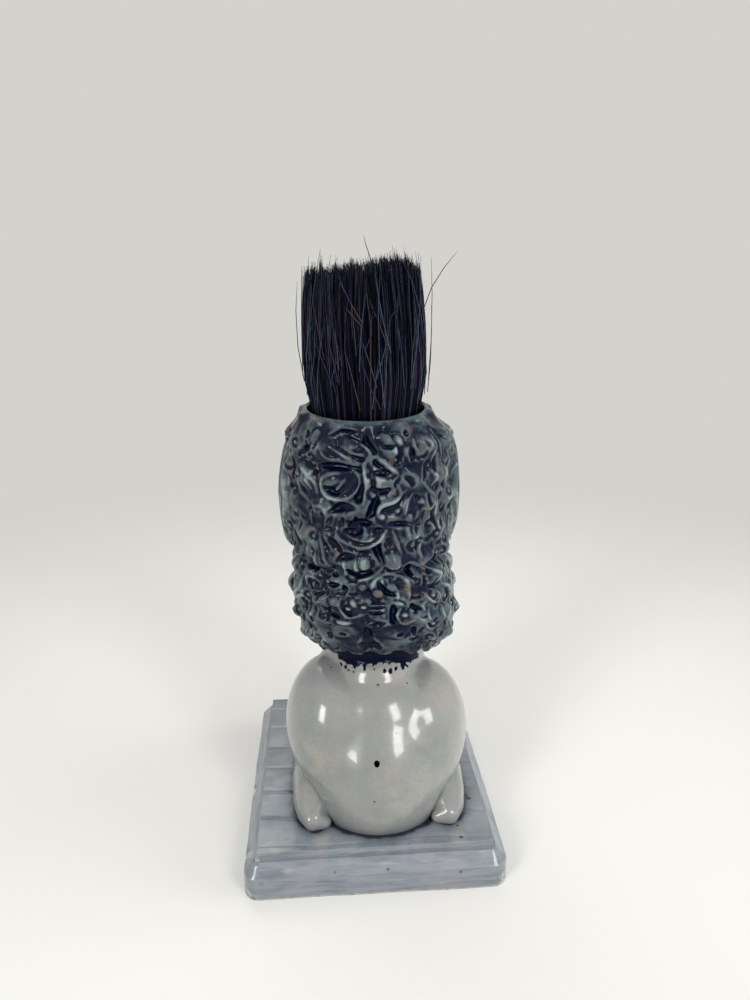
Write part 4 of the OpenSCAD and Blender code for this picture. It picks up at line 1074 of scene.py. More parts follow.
# Curls of the back, laid one by one. A place is a bearing round the head in degrees, from its left to its
# right side seen from behind, and a height.
handLaid = {
    # place, length, width, lean, bend
    "hollows": [
        ((37, 108), 2.7, 0.6, 115, 0.3), ((40, 104), 4.2, 0.8, 25, -0.6), ((43, 101), 4.6, 0.7, -30, 0.4),
        ((69, 109.2), 7.5, 0.5, 15, -1.2), ((88, 107), 5.6, 0.85, -72, 0.7), ((100, 106), 3.2, 0.5, 5, 0.4),
        ((106, 105.5), 6, 0.8, 92, 0.4), ((117, 109), 1.8, 0.6, 70, 0), ((116, 103.7), 3, 0.65, 85, 0.2),
        ((69, 104.7), 4.2, 0.45, -24, 0), ((59, 103.6), 4.6, 0.5, -22, 0.3), ((23, 98.6), 5, 0.7, 90, 0.5),
        ((49, 98.6), 3.6, 0.5, -68, 0.2), ((62, 96.2), 6.6, 1.25, 16, 1.1), ((76, 96.4), 6.2, 0.8, 62, 0.9),
        ((88, 98), 5.4, 0.6, 96, 0.3), ((94, 96), 4.6, 0.85, -8, 0.9), ((95, 100), 4.8, 0.8, 4, 0.4),
        ((93, 101.8), 3, 0.5, -30, 0.5), ((112, 97.4), 3, 0.65, -50, -0.4),
        ((89, 91.4), 5.2, 1.25, 66, 0.3), ((69, 90.8), 6.2, 1.15, 14, -0.6), ((47, 90.3), 1.8, 0.6, 90, 0),
        ((120, 92), 3.4, 0.42, 110, 0.5), ((130, 91.6), 3.6, 0.42, 108, -0.5),
        ((133, 100.5), 3.7, 0.5, 90, 0.3), ((19, 91.6), 1.9, 0.6, 120, 0), ((16, 87.8), 2.2, 0.6, 0, 0),
        ((81, 87.3), 5.2, 0.95, 8, -0.4), ((107, 87.1), 5.4, 0.5, -6, 0), ((79, 103.4), 3.8, 0.5, -20, 0.2),
        ((124, 98.5), 3.8, 0.5, 80, 0.4), ((156, 105), 2.4, 0.5, 60, 0), ((145, 95.2), 3.2, 0.5, 118, 0),
        ((77, 85.9), 4, 1.05, 5, 0.5), ((93, 85.8), 2.2, 0.7, 0, 0), ((56, 82.1), 3.5, 0.7, -62, 0.2),
        ((70, 78.7), 4.8, 1.0, 20, -0.3), ((79, 75.4), 6.8, 1.15, -5, 0.8),
        ((102, 76.3), 4.6, 0.42, -4, 0.5), ((141, 76.4), 3.4, 0.75, -32, 0), ((125, 71), 3.1, 0.7, 90, 0.4),
        ((96, 70.4), 6.2, 0.85, -52, 0.9), ((39, 75.1), 4.6, 0.65, 5, 0.7), ((39, 69.8), 3.6, 0.5, -52, 0),
        ((48, 67.6), 3.8, 0.6, 14, 0.6), ((59, 71.6), 4.1, 0.85, 0, 0.6), ((61, 74), 1.6, 0.5, -20, 0),
        ((68, 70.3), 2.3, 0.6, 95, 0), ((48, 66), 2, 0.5, 48, 0), ((22, 65.9), 2.9, 0.6, 70, 0),
        ((67, 63.6), 6.4, 0.7, -62, 0.9), ((90, 65.5), 3.3, 0.36, -2, 0.2), ((89, 64), 3.5, 0.42, 4, 0.3),
        ((88, 62.1), 3.4, 0.42, 0, 0.2), ((57, 61.3), 4.5, 0.8, -25, 0.5),
        ((116, 63.1), 3.6, 0.9, -40, 0.5), ((64, 58.9), 4.2, 0.42, 2, 0.5), ((40, 58.5), 2, 0.5, 72, 0),
        ((87, 58.1), 3.4, 0.9, 20, 0.3), ((113, 54.2), 3.4, 0.6, 103, 0), ((128, 55.3), 4, 0.6, -26, 0.4),
        ((133, 62.8), 2.5, 0.5, 90, 0), ((148, 64.7), 3.5, 0.6, 105, 0), ((160, 71.8), 2.6, 0.5, 100, 0),
        ((144, 55.8), 2.8, 0.5, 102, 0), ((131, 73.4), 1.8, 0.6, 97, 0), ((79, 51.6), 9.0, 1.4, 88, 0.2),
        ((76, 49.6), 6.5, 1.6, 68, 0), ((82, 49.6), 6.5, 1.6, 112, 0), ((79, 48.4), 5.0, 2.2, 90, 0),
        ((13, 81), 3, 0.6, 95, 0), ((168, 84), 3, 0.6, 80, 0),
    ],
    "drops": [
        ((36, 94.6), 5.3, 1.15, -37, 0.5), ((81, 96.6), 5.8, 1.0, 83, 0.4), ((103, 92.6), 7, 1.15, 46, 0.9),
        ((136, 86.9), 6, 0.75, -76, 0.2), ((65, 81.2), 3.6, 1.2, -63, 0), ((93, 80.8), 6.6, 1.1, -80, 0.3),
        ((115, 74), 4.1, 0.8, -75, 0.3), ((33, 62.3), 3.5, 0.75, -75, 0.2), ((99, 61.9), 6.3, 1.1, 88, 0.2),
        ((30, 54), 4.5, 0.7, -80, 0), ((11, 56), 4.6, 0.7, -60, 0),
    ],
    # the smooth hollows between the larger strands: path, width and depth
    "troughs": [
        ([(52, 100.7), (61, 101), (69, 101.1), (76, 101), (82, 100.2), (87, 98.8)], 1.0, 1.2),
        ([(69, 85), (75, 83), (81, 82.6), (88, 83.2), (95, 85)], 0.45, 0.9),
    ],
    # path, width, height
    "strands": [
        ([(60, 105.5), (67, 104.4), (76, 102.2)], 0.55, 0.5),
        ([(54, 104.5), (59, 102.8), (68, 102.4), (80, 101.4)], 0.6, 0.5),
        ([(76, 108), (86, 105.5), (87, 103.7), (83, 101.4), (84, 97), (83, 92.4)], 0.6, 0.6),
        ([(74, 101), (80, 99), (78, 95.4), (70, 93.4), (60, 93.4), (54, 95.3), (55, 98), (62, 99.4),
          (68, 99.6)], 0.6, 0.6), ([(72, 99), (69, 97), (64, 95.2)], 0.5, 0.4),
        ([(34, 100.3), (43, 98.6), (49, 96.2), (51, 94)], 0.6, 0.5),
        ([(27, 96.6), (34, 93.8), (45, 92)], 0.6, 0.5), ([(92, 103.4), (98, 101.4), (105, 99.3)], 0.8, 0.7),
        ([(87, 101.4), (88, 103.2), (93, 104)], 0.5, 0.5),
        ([(111, 95.5), (104, 93), (95, 92), (92.5, 90), (95, 88.4)], 0.6, 0.5),
        ([(116, 94.6), (111, 91), (113, 87.6), (119, 88.2), (120, 90)], 0.5, 0.5),
        ([(114, 105.5), (111, 104), (115, 101)], 0.5, 0.4),
        ([(120, 98), (127, 95.2), (134, 92.5), (131, 90), (122, 90.3)], 0.5, 0.4),
        ([(148, 103), (154, 100), (148, 98), (157, 95)], 0.5, 0.4),
        ([(141, 109), (142, 105), (142, 101.5)], 0.5, 0.4), ([(48, 91.2), (57, 91), (57, 86)], 0.5, 0.4),
        ([(65, 85.8), (70, 83.4), (80, 81.6), (90, 82.6), (99, 86)], 0.5, 0.6),
        ([(73, 84.5), (82, 83.4), (92, 84.6)], 0.4, 0.5), ([(53, 85), (54, 80), (58, 76)], 0.5, 0.5),
        ([(109, 77), (119, 76.7), (129, 74)], 0.5, 0.6), ([(77, 73), (86, 74.1), (95, 76.5)], 0.6, 0.7),
        ([(86, 69.8), (88, 73), (97, 75), (109, 73), (111, 66.4)], 0.7, 0.6),
        ([(121, 68), (127, 64.4), (134, 63.2), (136, 66), (132, 67.4)], 0.5, 0.6),
        ([(34, 68.6), (39, 72), (49, 71), (49, 69)], 0.5, 0.5),
        ([(65, 66.7), (64, 63.2), (70, 60.3), (82, 62)], 0.5, 0.7),
        ([(47, 63), (45, 59.3), (50, 57.5), (59, 58)], 0.5, 0.5),
        ([(105, 63.4), (101, 60.5), (104, 57.4), (112, 59)], 0.5, 0.7),
        ([(120, 57.5), (127, 54.4), (139, 56)], 0.5, 0.5),
        ([(121, 77.5), (134, 73.6), (150, 69)], 0.5, 0.4), ([(102, 86), (106, 82), (109, 78.6)], 0.5, 0.4),
        ([(140, 63), (147, 60), (142, 58), (158, 54)], 0.5, 0.4),
        ([(42, 82.5), (38, 78), (40, 76.3)], 0.5, 0.4), ([(96, 77.6), (102, 76.9), (108, 77.4)], 0.4, 0.6),
    ],
    # place, half sizes, height, turn
    "lumps": [
        ((47, 108), (1.7, 2.4), 0.5, 0), ((99, 108.4), (2.2, 2.4), 0.6, 0),
        ((108, 107.6), (1.2, 2), 0.5, 0), ((73, 107), (2.6, 2.2), 0.15, 0),
        ((95, 89.2), (0.9, 0.9), 0.6, 0), ((114.5, 88.6), (0.9, 0.9), 0.7, 0),
        ((122, 92), (0.8, 0.8), 0.4, 0), ((102, 78.6), (2.1, 2.0), 0.5, 0),
        ((83, 77.9), (1.4, 1.9), 0.7, 10), ((90, 68.9), (1.6, 1.6), 0.8, 0),
        ((100, 70.8), (1.2, 1.6), 0.6, 0), ((70, 63.5), (0.8, 0.8), 0.9, 0),
        ((80.5, 64.4), (0.8, 0.8), 0.9, 0), ((65.6, 58.6), (2.2, 0.9), 0.8, -8),
        ((61, 65.3), (1.2, 2), 0.5, 0), ((64, 55.0), (4.1, 2.9), 0.55, 0), ((96, 54.6), (4.6, 2.2), 0.5, 0),
        ((106, 60.8), (1, 1), 0.7, 0), ((129, 55.8), (0.8, 0.7), 0.6, 0), ((128, 71.3), (0.6, 0.6), 0.3, 0),
        ((140, 77.5), (0.9, 0.7), 0.6, 0), ((43, 69.6), (0.7, 0.9), 0.5, 20),
        ((55, 71.7), (0.7, 0.7), 0.6, 0), ((74, 65.6), (1, 1.6), 0.4, 15), ((80, 70.7), (1.1, 1.3), 0.4, 0),
    ],
    # hollows pressed into the lumps, given like those above
    "dents": [
        ((51, 53.2), 2.0, 0.75, -46, 0), ((62, 53.9), 1.6, 0.5, 0, 0), ((102, 53.6), 1.6, 0.5, 20, 0),
    ],
    # place, radius, start, hand, loops, width of a groove round a boss
    "curls": [
        ((117.5, 81.2), 1.7, 60, 1, 0.95, 0.36), ((43, 70.2), 1.6, 200, -1, 0.8, 0.4),
        ((129, 66), 1.5, 90, 1, 0.8, 0.4),
    ],
}


def buildRelief(values, heights, along):
    columns = values["columns"]
    sheet = ClaySheet(len(along), columns, math.tau * values["girth"] / columns, along[1] - along[0])
    girth, length = sheet.girth, along[-1]
    rising = np.argmax(heights > values["skin"][3][0])

    def flat(place):
        # where a bearing and a height lie on the sheet
        up = float(np.interp(place[1], heights[rising:], along[rising:]))
        return math.radians(place[0]) * values["girth"], up

    # lumps in staggered rows, with a little unevenness between them
    turns = np.arange(columns) / columns * math.tau
    seam = values["tiltTop"]
    low = np.where(heights < seam, slabTop + values["maneLow"], seam - values["headShift"])
    rise = (heights - low) / values["lumpRow"]
    around = turns * values["lumpCount"] / math.tau + (np.floor(rise) % 2)[:, None] / 2
    lumps = (0.5 + 0.5 * np.cos(math.tau * around)) * (0.5 - 0.5 * np.cos(math.tau * rise))[:, None] - 0.4
    for _ in range(values["waves"]):
        count, wave = dice.integers(4, 44), dice.uniform(0.2, 1.6)
        phase, lean = dice.uniform(0, math.tau), dice.uniform(-1, 1)
        sheet.ground += np.sin(turns * count + wave * (along[:, None] + lean) + phase) / (10 + count)
    sheet.ground *= values["unevenness"] / np.abs(sheet.ground).max()
    sheet.ground += lumps * values["lumpHeight"]
    sheet.field = sheet.ground.copy()

    def wave(row, column, turn):
        return math.sin(math.radians(137 * column + 61 * row + 97 * turn))

    taken = [flat(entry[0]) for kind in ("hollows", "drops", "lumps", "curls") for entry in handLaid[kind]]
    taken += [flat(place) for entry in handLaid["strands"] for place in entry[0]]
    count = values["hollowCount"]
    for rows, up in ((values["maneRows"], -1), (values["headRows"], 1)):
        for row, column in np.ndindex(rows, count):
            strays = [reach * wave(row, column, turn) for turn, reach in enumerate(values["stray"], 1)]
            aside, higher, lean, longer, wider, bend = strays
            bearing = 360 * (column + 0.5 * (row % 2) + aside) / count % 360
            if values["backFrom"] < bearing < values["backTo"]:
                continue
            middle = flat((bearing, seamHeight + up * values["rowHeight"] * (row + 1) + higher))
            sheet.hollow(middle, values["length"] + longer, values["width"] + wider, 90 + lean, bend,
                         values["depth"], drop=(row + column) % 2 == 0)
            taken.append(middle)

    # fine grooves, folds and strands between them, but not on the lobes or the band under the rim
    lobesFrom, lobesTo, lobesTop = values["lobes"]
    (left, top), (right, _) = flat((lobesFrom, lobesTop)), flat((lobesTo, lobesTop))
    rimUp = flat((0, values["rimBand"]))[1]
    taken = np.array(taken)
    spacing = values["fineSpacing"]
    for row, column in np.ndindex(int(length / (spacing * 0.8)) + 1, int(girth / spacing)):
        u = ((column + 0.5 * (row % 2)) * spacing + dice.normal(0, 0.6)) % girth
        v = (row + 0.5) * spacing * 0.8 + dice.normal(0, 0.5)
        hand = 1 if dice.uniform() < 0.5 else -1
        kind, turn, width = dice.uniform(), dice.normal(0, 1), dice.uniform(0.3, 0.5)
        apart = np.hypot((taken[:, 0] - u + girth / 2) % girth - girth / 2, taken[:, 1] - v).min()
        if apart < values["clear"] or v > rimUp or v < top and left < u < right:
            continue
        if kind < 0.36:
            sheet.curl((u, v), dice.uniform(1.0, 1.6), 90 + 70 * turn, hand, 0.8, width, 0.8)
        elif kind < 0.6:
            angles = np.radians(np.array([-165, -130, -90, -50, -15]) + 25 * turn)
            sheet.arc((u, v + 0.8), dice.uniform(1.2, 1.9), angles, width, 0.8, squash=0.9)
        elif kind < 0.8:
            sheet.hollow((u, v), dice.uniform(1.6, 2.8), width, 90 + 35 * turn, 0.3 * turn, 0.8)
        else:
            path = [(u - 0.4 * turn, v + 2.2), (u + 0.5 * turn, v), (u - 0.2 * turn, v - 2.2)]
            sheet.roll(path, 0.55, 0.5)

    for kind in ("hollows", "drops"):
        for place, length, width, lean, bend in handLaid[kind]:
            width *= values["fuller"]
            sheet.hollow(flat(place), length, width, lean, bend, values["depth"], drop=kind == "drops")
    for place, *sizes in handLaid["curls"]:
        sheet.curl(flat(place), *sizes, 0.9)
    for path, width, depth in handLaid["troughs"]:
        sheet.carve([flat(place) for place in path], width, depth)
    for path, width, height in handLaid["strands"]:
        sheet.roll([flat(place) for place in path], width, height)
    for place, *sizes in handLaid["lumps"]:
        sheet.press(flat(place), *sizes)
    for place, *sizes in handLaid["dents"]:
        sheet.hollow(flat(place), *sizes, values["depth"])
    return sheet


def makeCurls(values):
    skin = throughPoints([(z, x, wide, deep) for z, x, wide, deep in values["skin"]], values["step"])
    along = np.arange(len(skin)) * values["step"]
    sheet = buildRelief(values, skin[:, 0], along)
    fade = np.minimum(along / values["fadeIn"], (along[-1] - along) / values["fadeOut"])
    fade = np.clip(fade, 0, 1)[:, None]
    # crisp edges over the rounder form of the same curls
    crisp, rounded = soften(sheet.field, 2), soften(sheet.field, 14)
    push = (crisp * values["sharp"] + rounded * values["round"] + values["lift"]) * fade
    ground = sheet.ground
    least, strands, ridges, lumps = values["light"]
    relief = least + strands * (crisp - ground) + ridges * (crisp - rounded) + lumps * ground
    # painted light: the curls are made lighter at both sides, and darker at the left and lighter at the
    # right, as the light falls
    across = np.cos(np.arange(values["columns"]) / values["columns"] * math.tau)
    relief = np.clip(relief, 0, 1.2) + values["paintedLightSides"] * np.abs(across) ** 1.5
    relief = (relief - values["paintedShadeLeft"] * across) * fade + values["lightEdge"] * (1 - fade)

    # profile: up the axis to the underside, out over the skin, and down the bore
    low, bore, floor = skin[0, 0], values["bore"], values["boreFloor"]
    before = [(0, low), (skin[0, 2] * 0.6, low)]
    after = [
        (bore + 0.2, rimHeight - 0.1), (bore, rimHeight - 0.5), (bore, (rimHeight + floor) / 2),
        (bore, floor), (0, floor),
    ]
    profile = np.array(before + [(row[2], row[0]) for row in skin] + after) * mm
    mesh = meshFrom(spun(profile, values["columns"], rows=True), "curls")
    points = readPoints(mesh)
    row = np.empty(len(points), np.int32)
    mesh.attributes["row"].data.foreach_get("value", row)
    mesh.attributes.remove(mesh.attributes["row"])
    turn = np.arctan2(points[:, 1], points[:, 0]) % math.tau
    column = np.round(turn / math.tau * values["columns"]).astype(int) % values["columns"]
    under = row < len(before)
    onSkin = ~under & (row < len(before) + len(skin))
    index = np.clip(row - len(before), 0, len(skin) - 1)

    slope = np.gradient(skin, axis=0)
    outward = np.stack([slope[:, 0], -slope[:, 2]], 1)
    outward /= np.linalg.norm(outward, axis=1)[:, None]
    height = np.where(onSkin, skin[index, 0], points[:, 2])
    middle = np.where(onSkin | under, skin[index, 1], brushX)
    stretch = np.where(onSkin | under, skin[index, 3] / skin[index, 2], 1)
    lift = np.where(onSkin, push[index, column], 0)[:, None] * outward[index]
    radius = np.hypot(points[:, 0], points[:, 1])
    x = middle + np.cos(turn) * (radius + lift[:, 0])
    y = values["middleY"] + np.sin(turn) * (radius * stretch + lift[:, 0])
    z = height + lift[:, 1]
    share = np.clip((values["tiltTop"] - height) / (values["tiltTop"] - skin[:, 0].min()), 0, 1)
    z += values["tilt"] * share * (y - values["middleY"])
    # the rim is a little lower at the back
    dip = np.clip((z - values["dipFrom"]) / values["dipOver"], 0, 1) ** 2
    z -= values["rimDip"] * dip * np.clip(0.4 + 0.6 * np.sin(turn), 0, 1)
    # the mane and the topknot meet in a notch
    depth, deeper, half = values["notch"]
    notch = np.exp(-((height - values["tiltTop"]) / half) ** 2) * (depth + deeper * np.cos(turn) ** 2)
    notch *= onSkin
    x -= np.cos(turn) * notch
    y -= np.sin(turn) * notch * 0.6
    writePoints(mesh, np.stack([x, y, z], 1))
    storeMask(mesh, "relief", np.where(onSkin, relief[index, column], 0.1))
    return mesh


curlMesh = makeCurls(curls)
for name, above in (("mane", False), ("head", True)):
    addPiece(name, cutLevel(curlMesh, name, seamHeight, keepAbove=above), "black", [name])
bpy.data.meshes.remove(curlMesh)
print("curls made")


# Ears: hanging pads with long wavy strands
ears = {
    "voxel": 0.32, "smoothing": 2, "padHalves": (2.1, 8.4, 14.2), "slack": (0.3, 0.6, 0.4),
    "strands": 9, "strandRadius": 1.2, "blobs": 34, "sway": 0.85, "waves": 2.3,
    "spread": 0.93, "fall": 0.97, "sunk": 0.3, "flat": 0.86,  # how the strands lie on the pad
    "close": {"left": 1.3, "right": 0.3},  # how far the top of an ear lies in towards the head
}


def makeEar(name, values, side, close):
    low, high = boxOf(name)
    middle = np.array((low + high) / 2)
    halves = np.array(values["padHalves"])
    bm = bmesh.new()
    addBlob(bm, middle, halves)
    for strand in range(values["strands"]):
        share = ((strand + 0.5) / values["strands"] * 2 - 1) * values["spread"]
        phase, waves = dice.uniform(0, math.tau), values["waves"] * dice.uniform(0.8, 1.2)
        tall = halves[2] * math.sqrt(1 - share ** 2) * values["fall"]
        for run in np.linspace(-1, 1, values["blobs"]):
            y = share * halves[1] + values["sway"] * math.sin(run * math.pi * waves / 2 + phase)
            z = run * tall
            out = 1 - (y / halves[1]) ** 2 - (z / halves[2]) ** 2
            x = halves[0] * math.sqrt(max(0.05, out))
            radius = values["strandRadius"] * (0.62 + 0.38 * math.sqrt(max(0.0, 1 - run ** 4)))
            spot = middle + (side * (x - radius * values["sunk"]), y, z)
            addBlob(bm, spot, (radius, radius * values["flat"], radius), detail=2)
    mesh = melt(bm, name, values["voxel"], values["smoothing"])
    points = readPoints(mesh)
    points[:, 0] -= side * close * np.clip((points[:, 2] - middle[2]) / halves[2], 0, 1) ** 1.3
    slack = np.array(values["slack"])
    writePoints(mesh, np.clip(points, np.array(low) - slack, np.array(high) + slack))
    # ridges high and hollows low, for the black glaze, which darkens hollows as painted shade and lightens
    # ridges partly as painted highlight
    storeMask(mesh, "relief", np.clip(0.6 - hollowness(mesh, 8) * 2.6, 0, 1.1))
    addPiece(name, mesh, "black", [name])


for sideName, side in sides:
    makeEar(sideName + "_ear", ears, side, ears["close"][sideName])
print("ears made")


# Brush: turned plug, binding and hair, which lift out of the socket together
plug = {"chamfer": 0.6, "cupRadius": 12.45, "cupEdge": 0.25, "segments": 128,
        "lines": (2.6, 3.4, 6.2), "lineDepth": 0.22, "lineWidth": 0.16}
binding = {"turns": 4, "segments": 128, "arc": 7, "twist": 90, "strandDepth": 0.05}


def spinProfile(profile, name, segments):
    bm = spun(np.array(profile) * mm, segments)
    bmesh.ops.translate(bm, vec=Vector((brushX, brushY, 0)) * mm, verts=bm.verts)
    return meshFrom(bm, name)


def makePlug(values):
    low, high, edge = plugLow.z, plugHigh.z, values["chamfer"]
    floor = boxOf("pitch_fill")[0].z
    cup, wide = values["cupRadius"], values["lineWidth"]
    profile = [(0, low), (plugRadius * 0.5, low), (plugRadius - edge, low), (plugRadius, low + edge)]
    for line in values["lines"]:
        for step, depth in ((-wide, 0), (0, values["lineDepth"]), (wide, 0)):
            profile.append((plugRadius - depth, low + line + step))
    profile += [(plugRadius, high - edge), (plugRadius - edge, high), (cup + values["cupEdge"], high),
                (cup, high - values["cupEdge"]), (cup, floor), (0, floor)]
    mesh = spinProfile(profile, "brush_plug", values["segments"])
    addPiece("brush_plug", mesh, "wood", ["brush_plug"])
    mesh.shade_flat()


def makeBinding(values):
    low, high = boxOf("binding_cord")
    outer = high.x - brushX
    radius = (high.z - low.z) / values["turns"] / 2
    inner = outer - 3.2 * radius
    profile = [(inner, low.z)]
    for turn in range(values["turns"]):
        middle = low.z + radius * (2 * turn + 1)
        for angle in np.linspace(-math.pi / 2, math.pi / 2, values["arc"]):
            bulge = radius * math.cos(angle)
            profile.append((outer - radius + bulge, middle + radius * math.sin(angle) * 0.98))
    profile += [(inner, high.z), (inner, low.z)]
    mesh = spinProfile(profile, "binding_cord", values["segments"])
    points = readPoints(mesh)
    away = points[:, :2] - (brushX, brushY)
    turn, length = np.arctan2(away[:, 1], away[:, 0]), np.hypot(away[:, 0], away[:, 1])
    twist = np.abs(np.sin(turn * values["twist"] + points[:, 2] * 9)) * values["strandDepth"]
    points[:, :2] -= away / length[:, None] * (twist * (length > outer - radius))[:, None]
    writePoints(mesh, points)
    addPiece("binding_cord", mesh, "thread", ["binding_cord"])


makePlug(plug)
makeBinding(binding)
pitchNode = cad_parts["pitch_fill"]
pitchNode.data.materials.clear()
pitchNode.data.materials.append(finishes["pitch"][0])
print("plug and binding made")


# Hair: a round tuft, gathered in the socket and a little fuller above it, with ragged clumps at the tips
tuft = {
    # count, share of the radius from and to, and foot of the hairs
    "layers": ((3900, 0.78, 1.0, 105.9), (1700, 0.0, 0.8, 127.0)),
    "thickness": 0.105, "taper": (1.0, 1.0, 0.85, 0.3), "parts": (0.0, 0.36, 0.72, 1.0),
    "clumps": 260, "gather": 0.45, "clumpRagged": 0.9, "clumpWave": 0.3, "clumpTone": 0.45,
    "gathered": (0.4, 1.3), "ragged": 0.75, "short": 1.2, "dome": 0.6, "highest": 149.7,
    "wave": 0.16, "loosened": 1.6, "tone": 0.62, "strayTone": (0.7, 1.0),
    "coreRadius": 12.2, "coreFoot": 105.9, "coreTop": 137.0,
    # height and radius of the tuft
    "spread": ((105.9, 12.3), (112.5, 13.9), (120.0, 14.5), (130.0, 14.8), (138.0, 14.6), (148.0, 14.1)),
    # place across the tuft, from the right seen from behind, and height of its tips
    "tips": (
        (-15, 143.4), (-12, 144.8), (-9, 145.6), (-4, 144.8), (0, 144.0), (5, 143.4), (9, 143.3), (12, 143.0),
        (15, 141.6),
    ),
    "tipRadius": 14.5,
    # the tuft leans to one side above the rim: how far, over what height, and from where across
    "lean": 1.8, "leanOver": 34, "leanFrom": 11, "leanWidth": 14,
    # hairs that cross the others: count, drift round the tuft, foot and length
    "crossing": 110, "crossDrift": 3.2, "crossFoot": (113, 128), "crossLength": (9, 22),
    "crossBow": 0.8, "crossRaised": 0.3,
    # loose hairs: foot and tip as place across, depth and height, and how far the hair bows
    "loose": [
        ((-1.9, 9, 143.5), (0.9, 10, 150.9), 0.3), ((-13.1, 5, 135.4), (-20.4, 5, 147.6), 1.1),
        ((-14.7, 3, 118.5), (-14.7, 4, 146.4), -0.5), ((-14.4, 4, 116.0), (-14.8, 5, 136.0), -0.4),
        ((14.7, 2, 118.5), (15.6, 3, 141.2), 1.0), ((14.9, 0, 122.0), (14.5, 1, 144.6), 0.2),
        ((14.7, 2, 121.0), (14.2, 3, 143.6), 0.25), ((15.0, 3, 120.0), (14.6, 3, 142.4), 0.1),
        ((1.7, 13.9, 132.1), (5.1, 13.1, 136.0), 0.0), ((1.7, 13.9, 133.1), (6.6, 12.5, 142.6), 0.3),
        ((2.2, 14.0, 122.3), (0.6, 13.6, 139.2), 0.4), ((-4.8, 13.4, 126.0), (-1.2, 13.8, 143.5), 0.3),
        ((-3.4, 14.0, 114.0), (-2.4, 13.4, 143.0), 0.9), ((-9.5, 11.6, 118.0), (-11.6, 9.6, 146.8), -0.8),
    ],
}


def leanAt(values, x, z):
    rise = np.clip((z - rimHeight) / values["leanOver"], 0, 1)
    return values["lean"] * rise ** 1.4 * np.clip((values["leanFrom"] - x) / values["leanWidth"], 0, 1)


def hairPaths(values):
    # four points for each hair, from its foot to its tip
    layers = []
    for count, inside, outside, foot in values["layers"]:
        order = np.arange(count)
        share = np.sqrt(inside ** 2 + (outside ** 2 - inside ** 2) * (order + 0.5) / count)
        turn = order * math.pi * (3 - math.sqrt(5)) + dice.normal(0, 0.04, count)
        layers.append((share, turn, np.full(count, foot)))
    share, turn, foot = (np.concatenate(rows) for rows in zip(*layers))
    flat = share * np.array([np.cos(turn), np.sin(turn)])
    clumps, number = values["clumps"], len(share)
    centreShare = np.sqrt(dice.uniform(0, 1, clumps) * 0.9 + 0.1)
    centreTurn = dice.uniform(0, math.tau, clumps)
    centre = centreShare * np.array([np.cos(centreTurn), np.sin(centreTurn)])
    clump = np.argmin(((flat[:, :, None] - centre[:, None]) ** 2).sum(0), axis=1)
    gather = values["gather"] * dice.uniform(*values["gathered"], clumps)[clump]
    tip = flat + (centre[:, clump] - flat) * gather

    heights, radii = zip(*values["spread"])
    across, tops = zip(*values["tips"])
    top = np.interp(tip[0] * values["tipRadius"], across, tops)
    top += dice.normal(0, values["clumpRagged"], clumps)[clump]
    top += dice.normal(0, values["ragged"], number) - values["short"] * dice.uniform(0, 1, number) ** 4
    top = np.minimum(top - values["dome"] * (1 - np.hypot(*tip)), values["highest"])
    waves = dice.normal(0, values["wave"], (2, 4, number))
    waves = waves + dice.normal(0, values["clumpWave"], (2, 4, clumps))[:, :, clump]
    points = np.empty((number, 4, 3))
    for step, part in enumerate(values["parts"]):
        z = foot + (top - foot) * part
        spot = flat + (tip - flat) * np.clip((z - rimHeight) / values["leanOver"], 0, 1) ** 2
        lean = leanAt(values, spot[0] * values["tipRadius"], z)
        spot = spot * np.interp(z, heights, radii) + waves[:, step] * min(1.0, part * values["loosened"])
        points[:, step] = np.stack([brushX + spot[0] + lean, brushY + spot[1], z], 1)
    strays = []
    for _ in range(values["crossing"]):
        bearing, low = dice.uniform(0, math.tau), dice.uniform(*values["crossFoot"])
        drift, long = dice.normal(0, values["crossDrift"]), dice.uniform(*values["crossLength"])
        bow = dice.normal(0, values["crossBow"])
        for part in values["parts"]:
            z = low + long * part
            radius = np.interp(z, heights, radii) + values["crossRaised"]
            around = bearing + (drift * part + bow * math.sin(math.pi * part)) / radius
            x = radius * math.cos(around)
            strays.append((brushX + x + leanAt(values, x, z), brushY + radius * math.sin(around), z))
    for start, end, bow in values["loose"]:
        for part in values["parts"]:
            x, y, z = np.array(start) + (np.array(end) - start) * part
            strays.append((x + bow * math.sin(math.pi * part), y, z))
    return np.concatenate([points, np.array(strays).reshape(-1, 4, 3)]), clump


def makeTuft(values):
    paths, clump = hairPaths(values)
    data = bpy.data.curves.new("bristle_tuft", "CURVE")
    data.dimensions = "3D"
    data.bevel_depth = values["thickness"] * mm
    data.bevel_resolution = 0
    data.use_fill_caps = True
    for path in paths:
        spline = data.splines.new("POLY")
        spline.points.add(len(path) - 1)
        spline.points.foreach_set("co", np.hstack([path * mm, np.ones((len(path), 1))]).ravel())
        spline.points.foreach_set("radius", values["taper"])
    hairs = baked(show("bristle_tuft", data))
    perHair = len(hairs.vertices) // len(paths)

    # a dark core under the outer hairs
    bm = bmFrom(hairs)
    foot, top = values["coreFoot"], values["coreTop"]
    addPost(bm, (brushX, brushY, (foot + top) / 2), values["coreRadius"], top - foot, 64, foot=0.97)
    mesh = meshFrom(bm, "bristle_tuft")
    clumpTone = dice.uniform(0, 1, values["clumps"])[clump] * values["clumpTone"]
    tone = dice.uniform(0, values["tone"], len(paths))
    tone[:len(clump)] += clumpTone
    tone[len(clump):] = dice.uniform(*values["strayTone"], len(paths) - len(clump))
    full = np.zeros(len(mesh.vertices))
    full[:perHair * len(paths)] = np.repeat(tone, perHair)
    storeMask(mesh, "tone", full)
    return addPiece("bristle_tuft", mesh, "hair", ["bristle_tuft"])


tuftPiece = makeTuft(tuft)
print("tuft made:", len(tuftPiece.data.polygons), "faces")


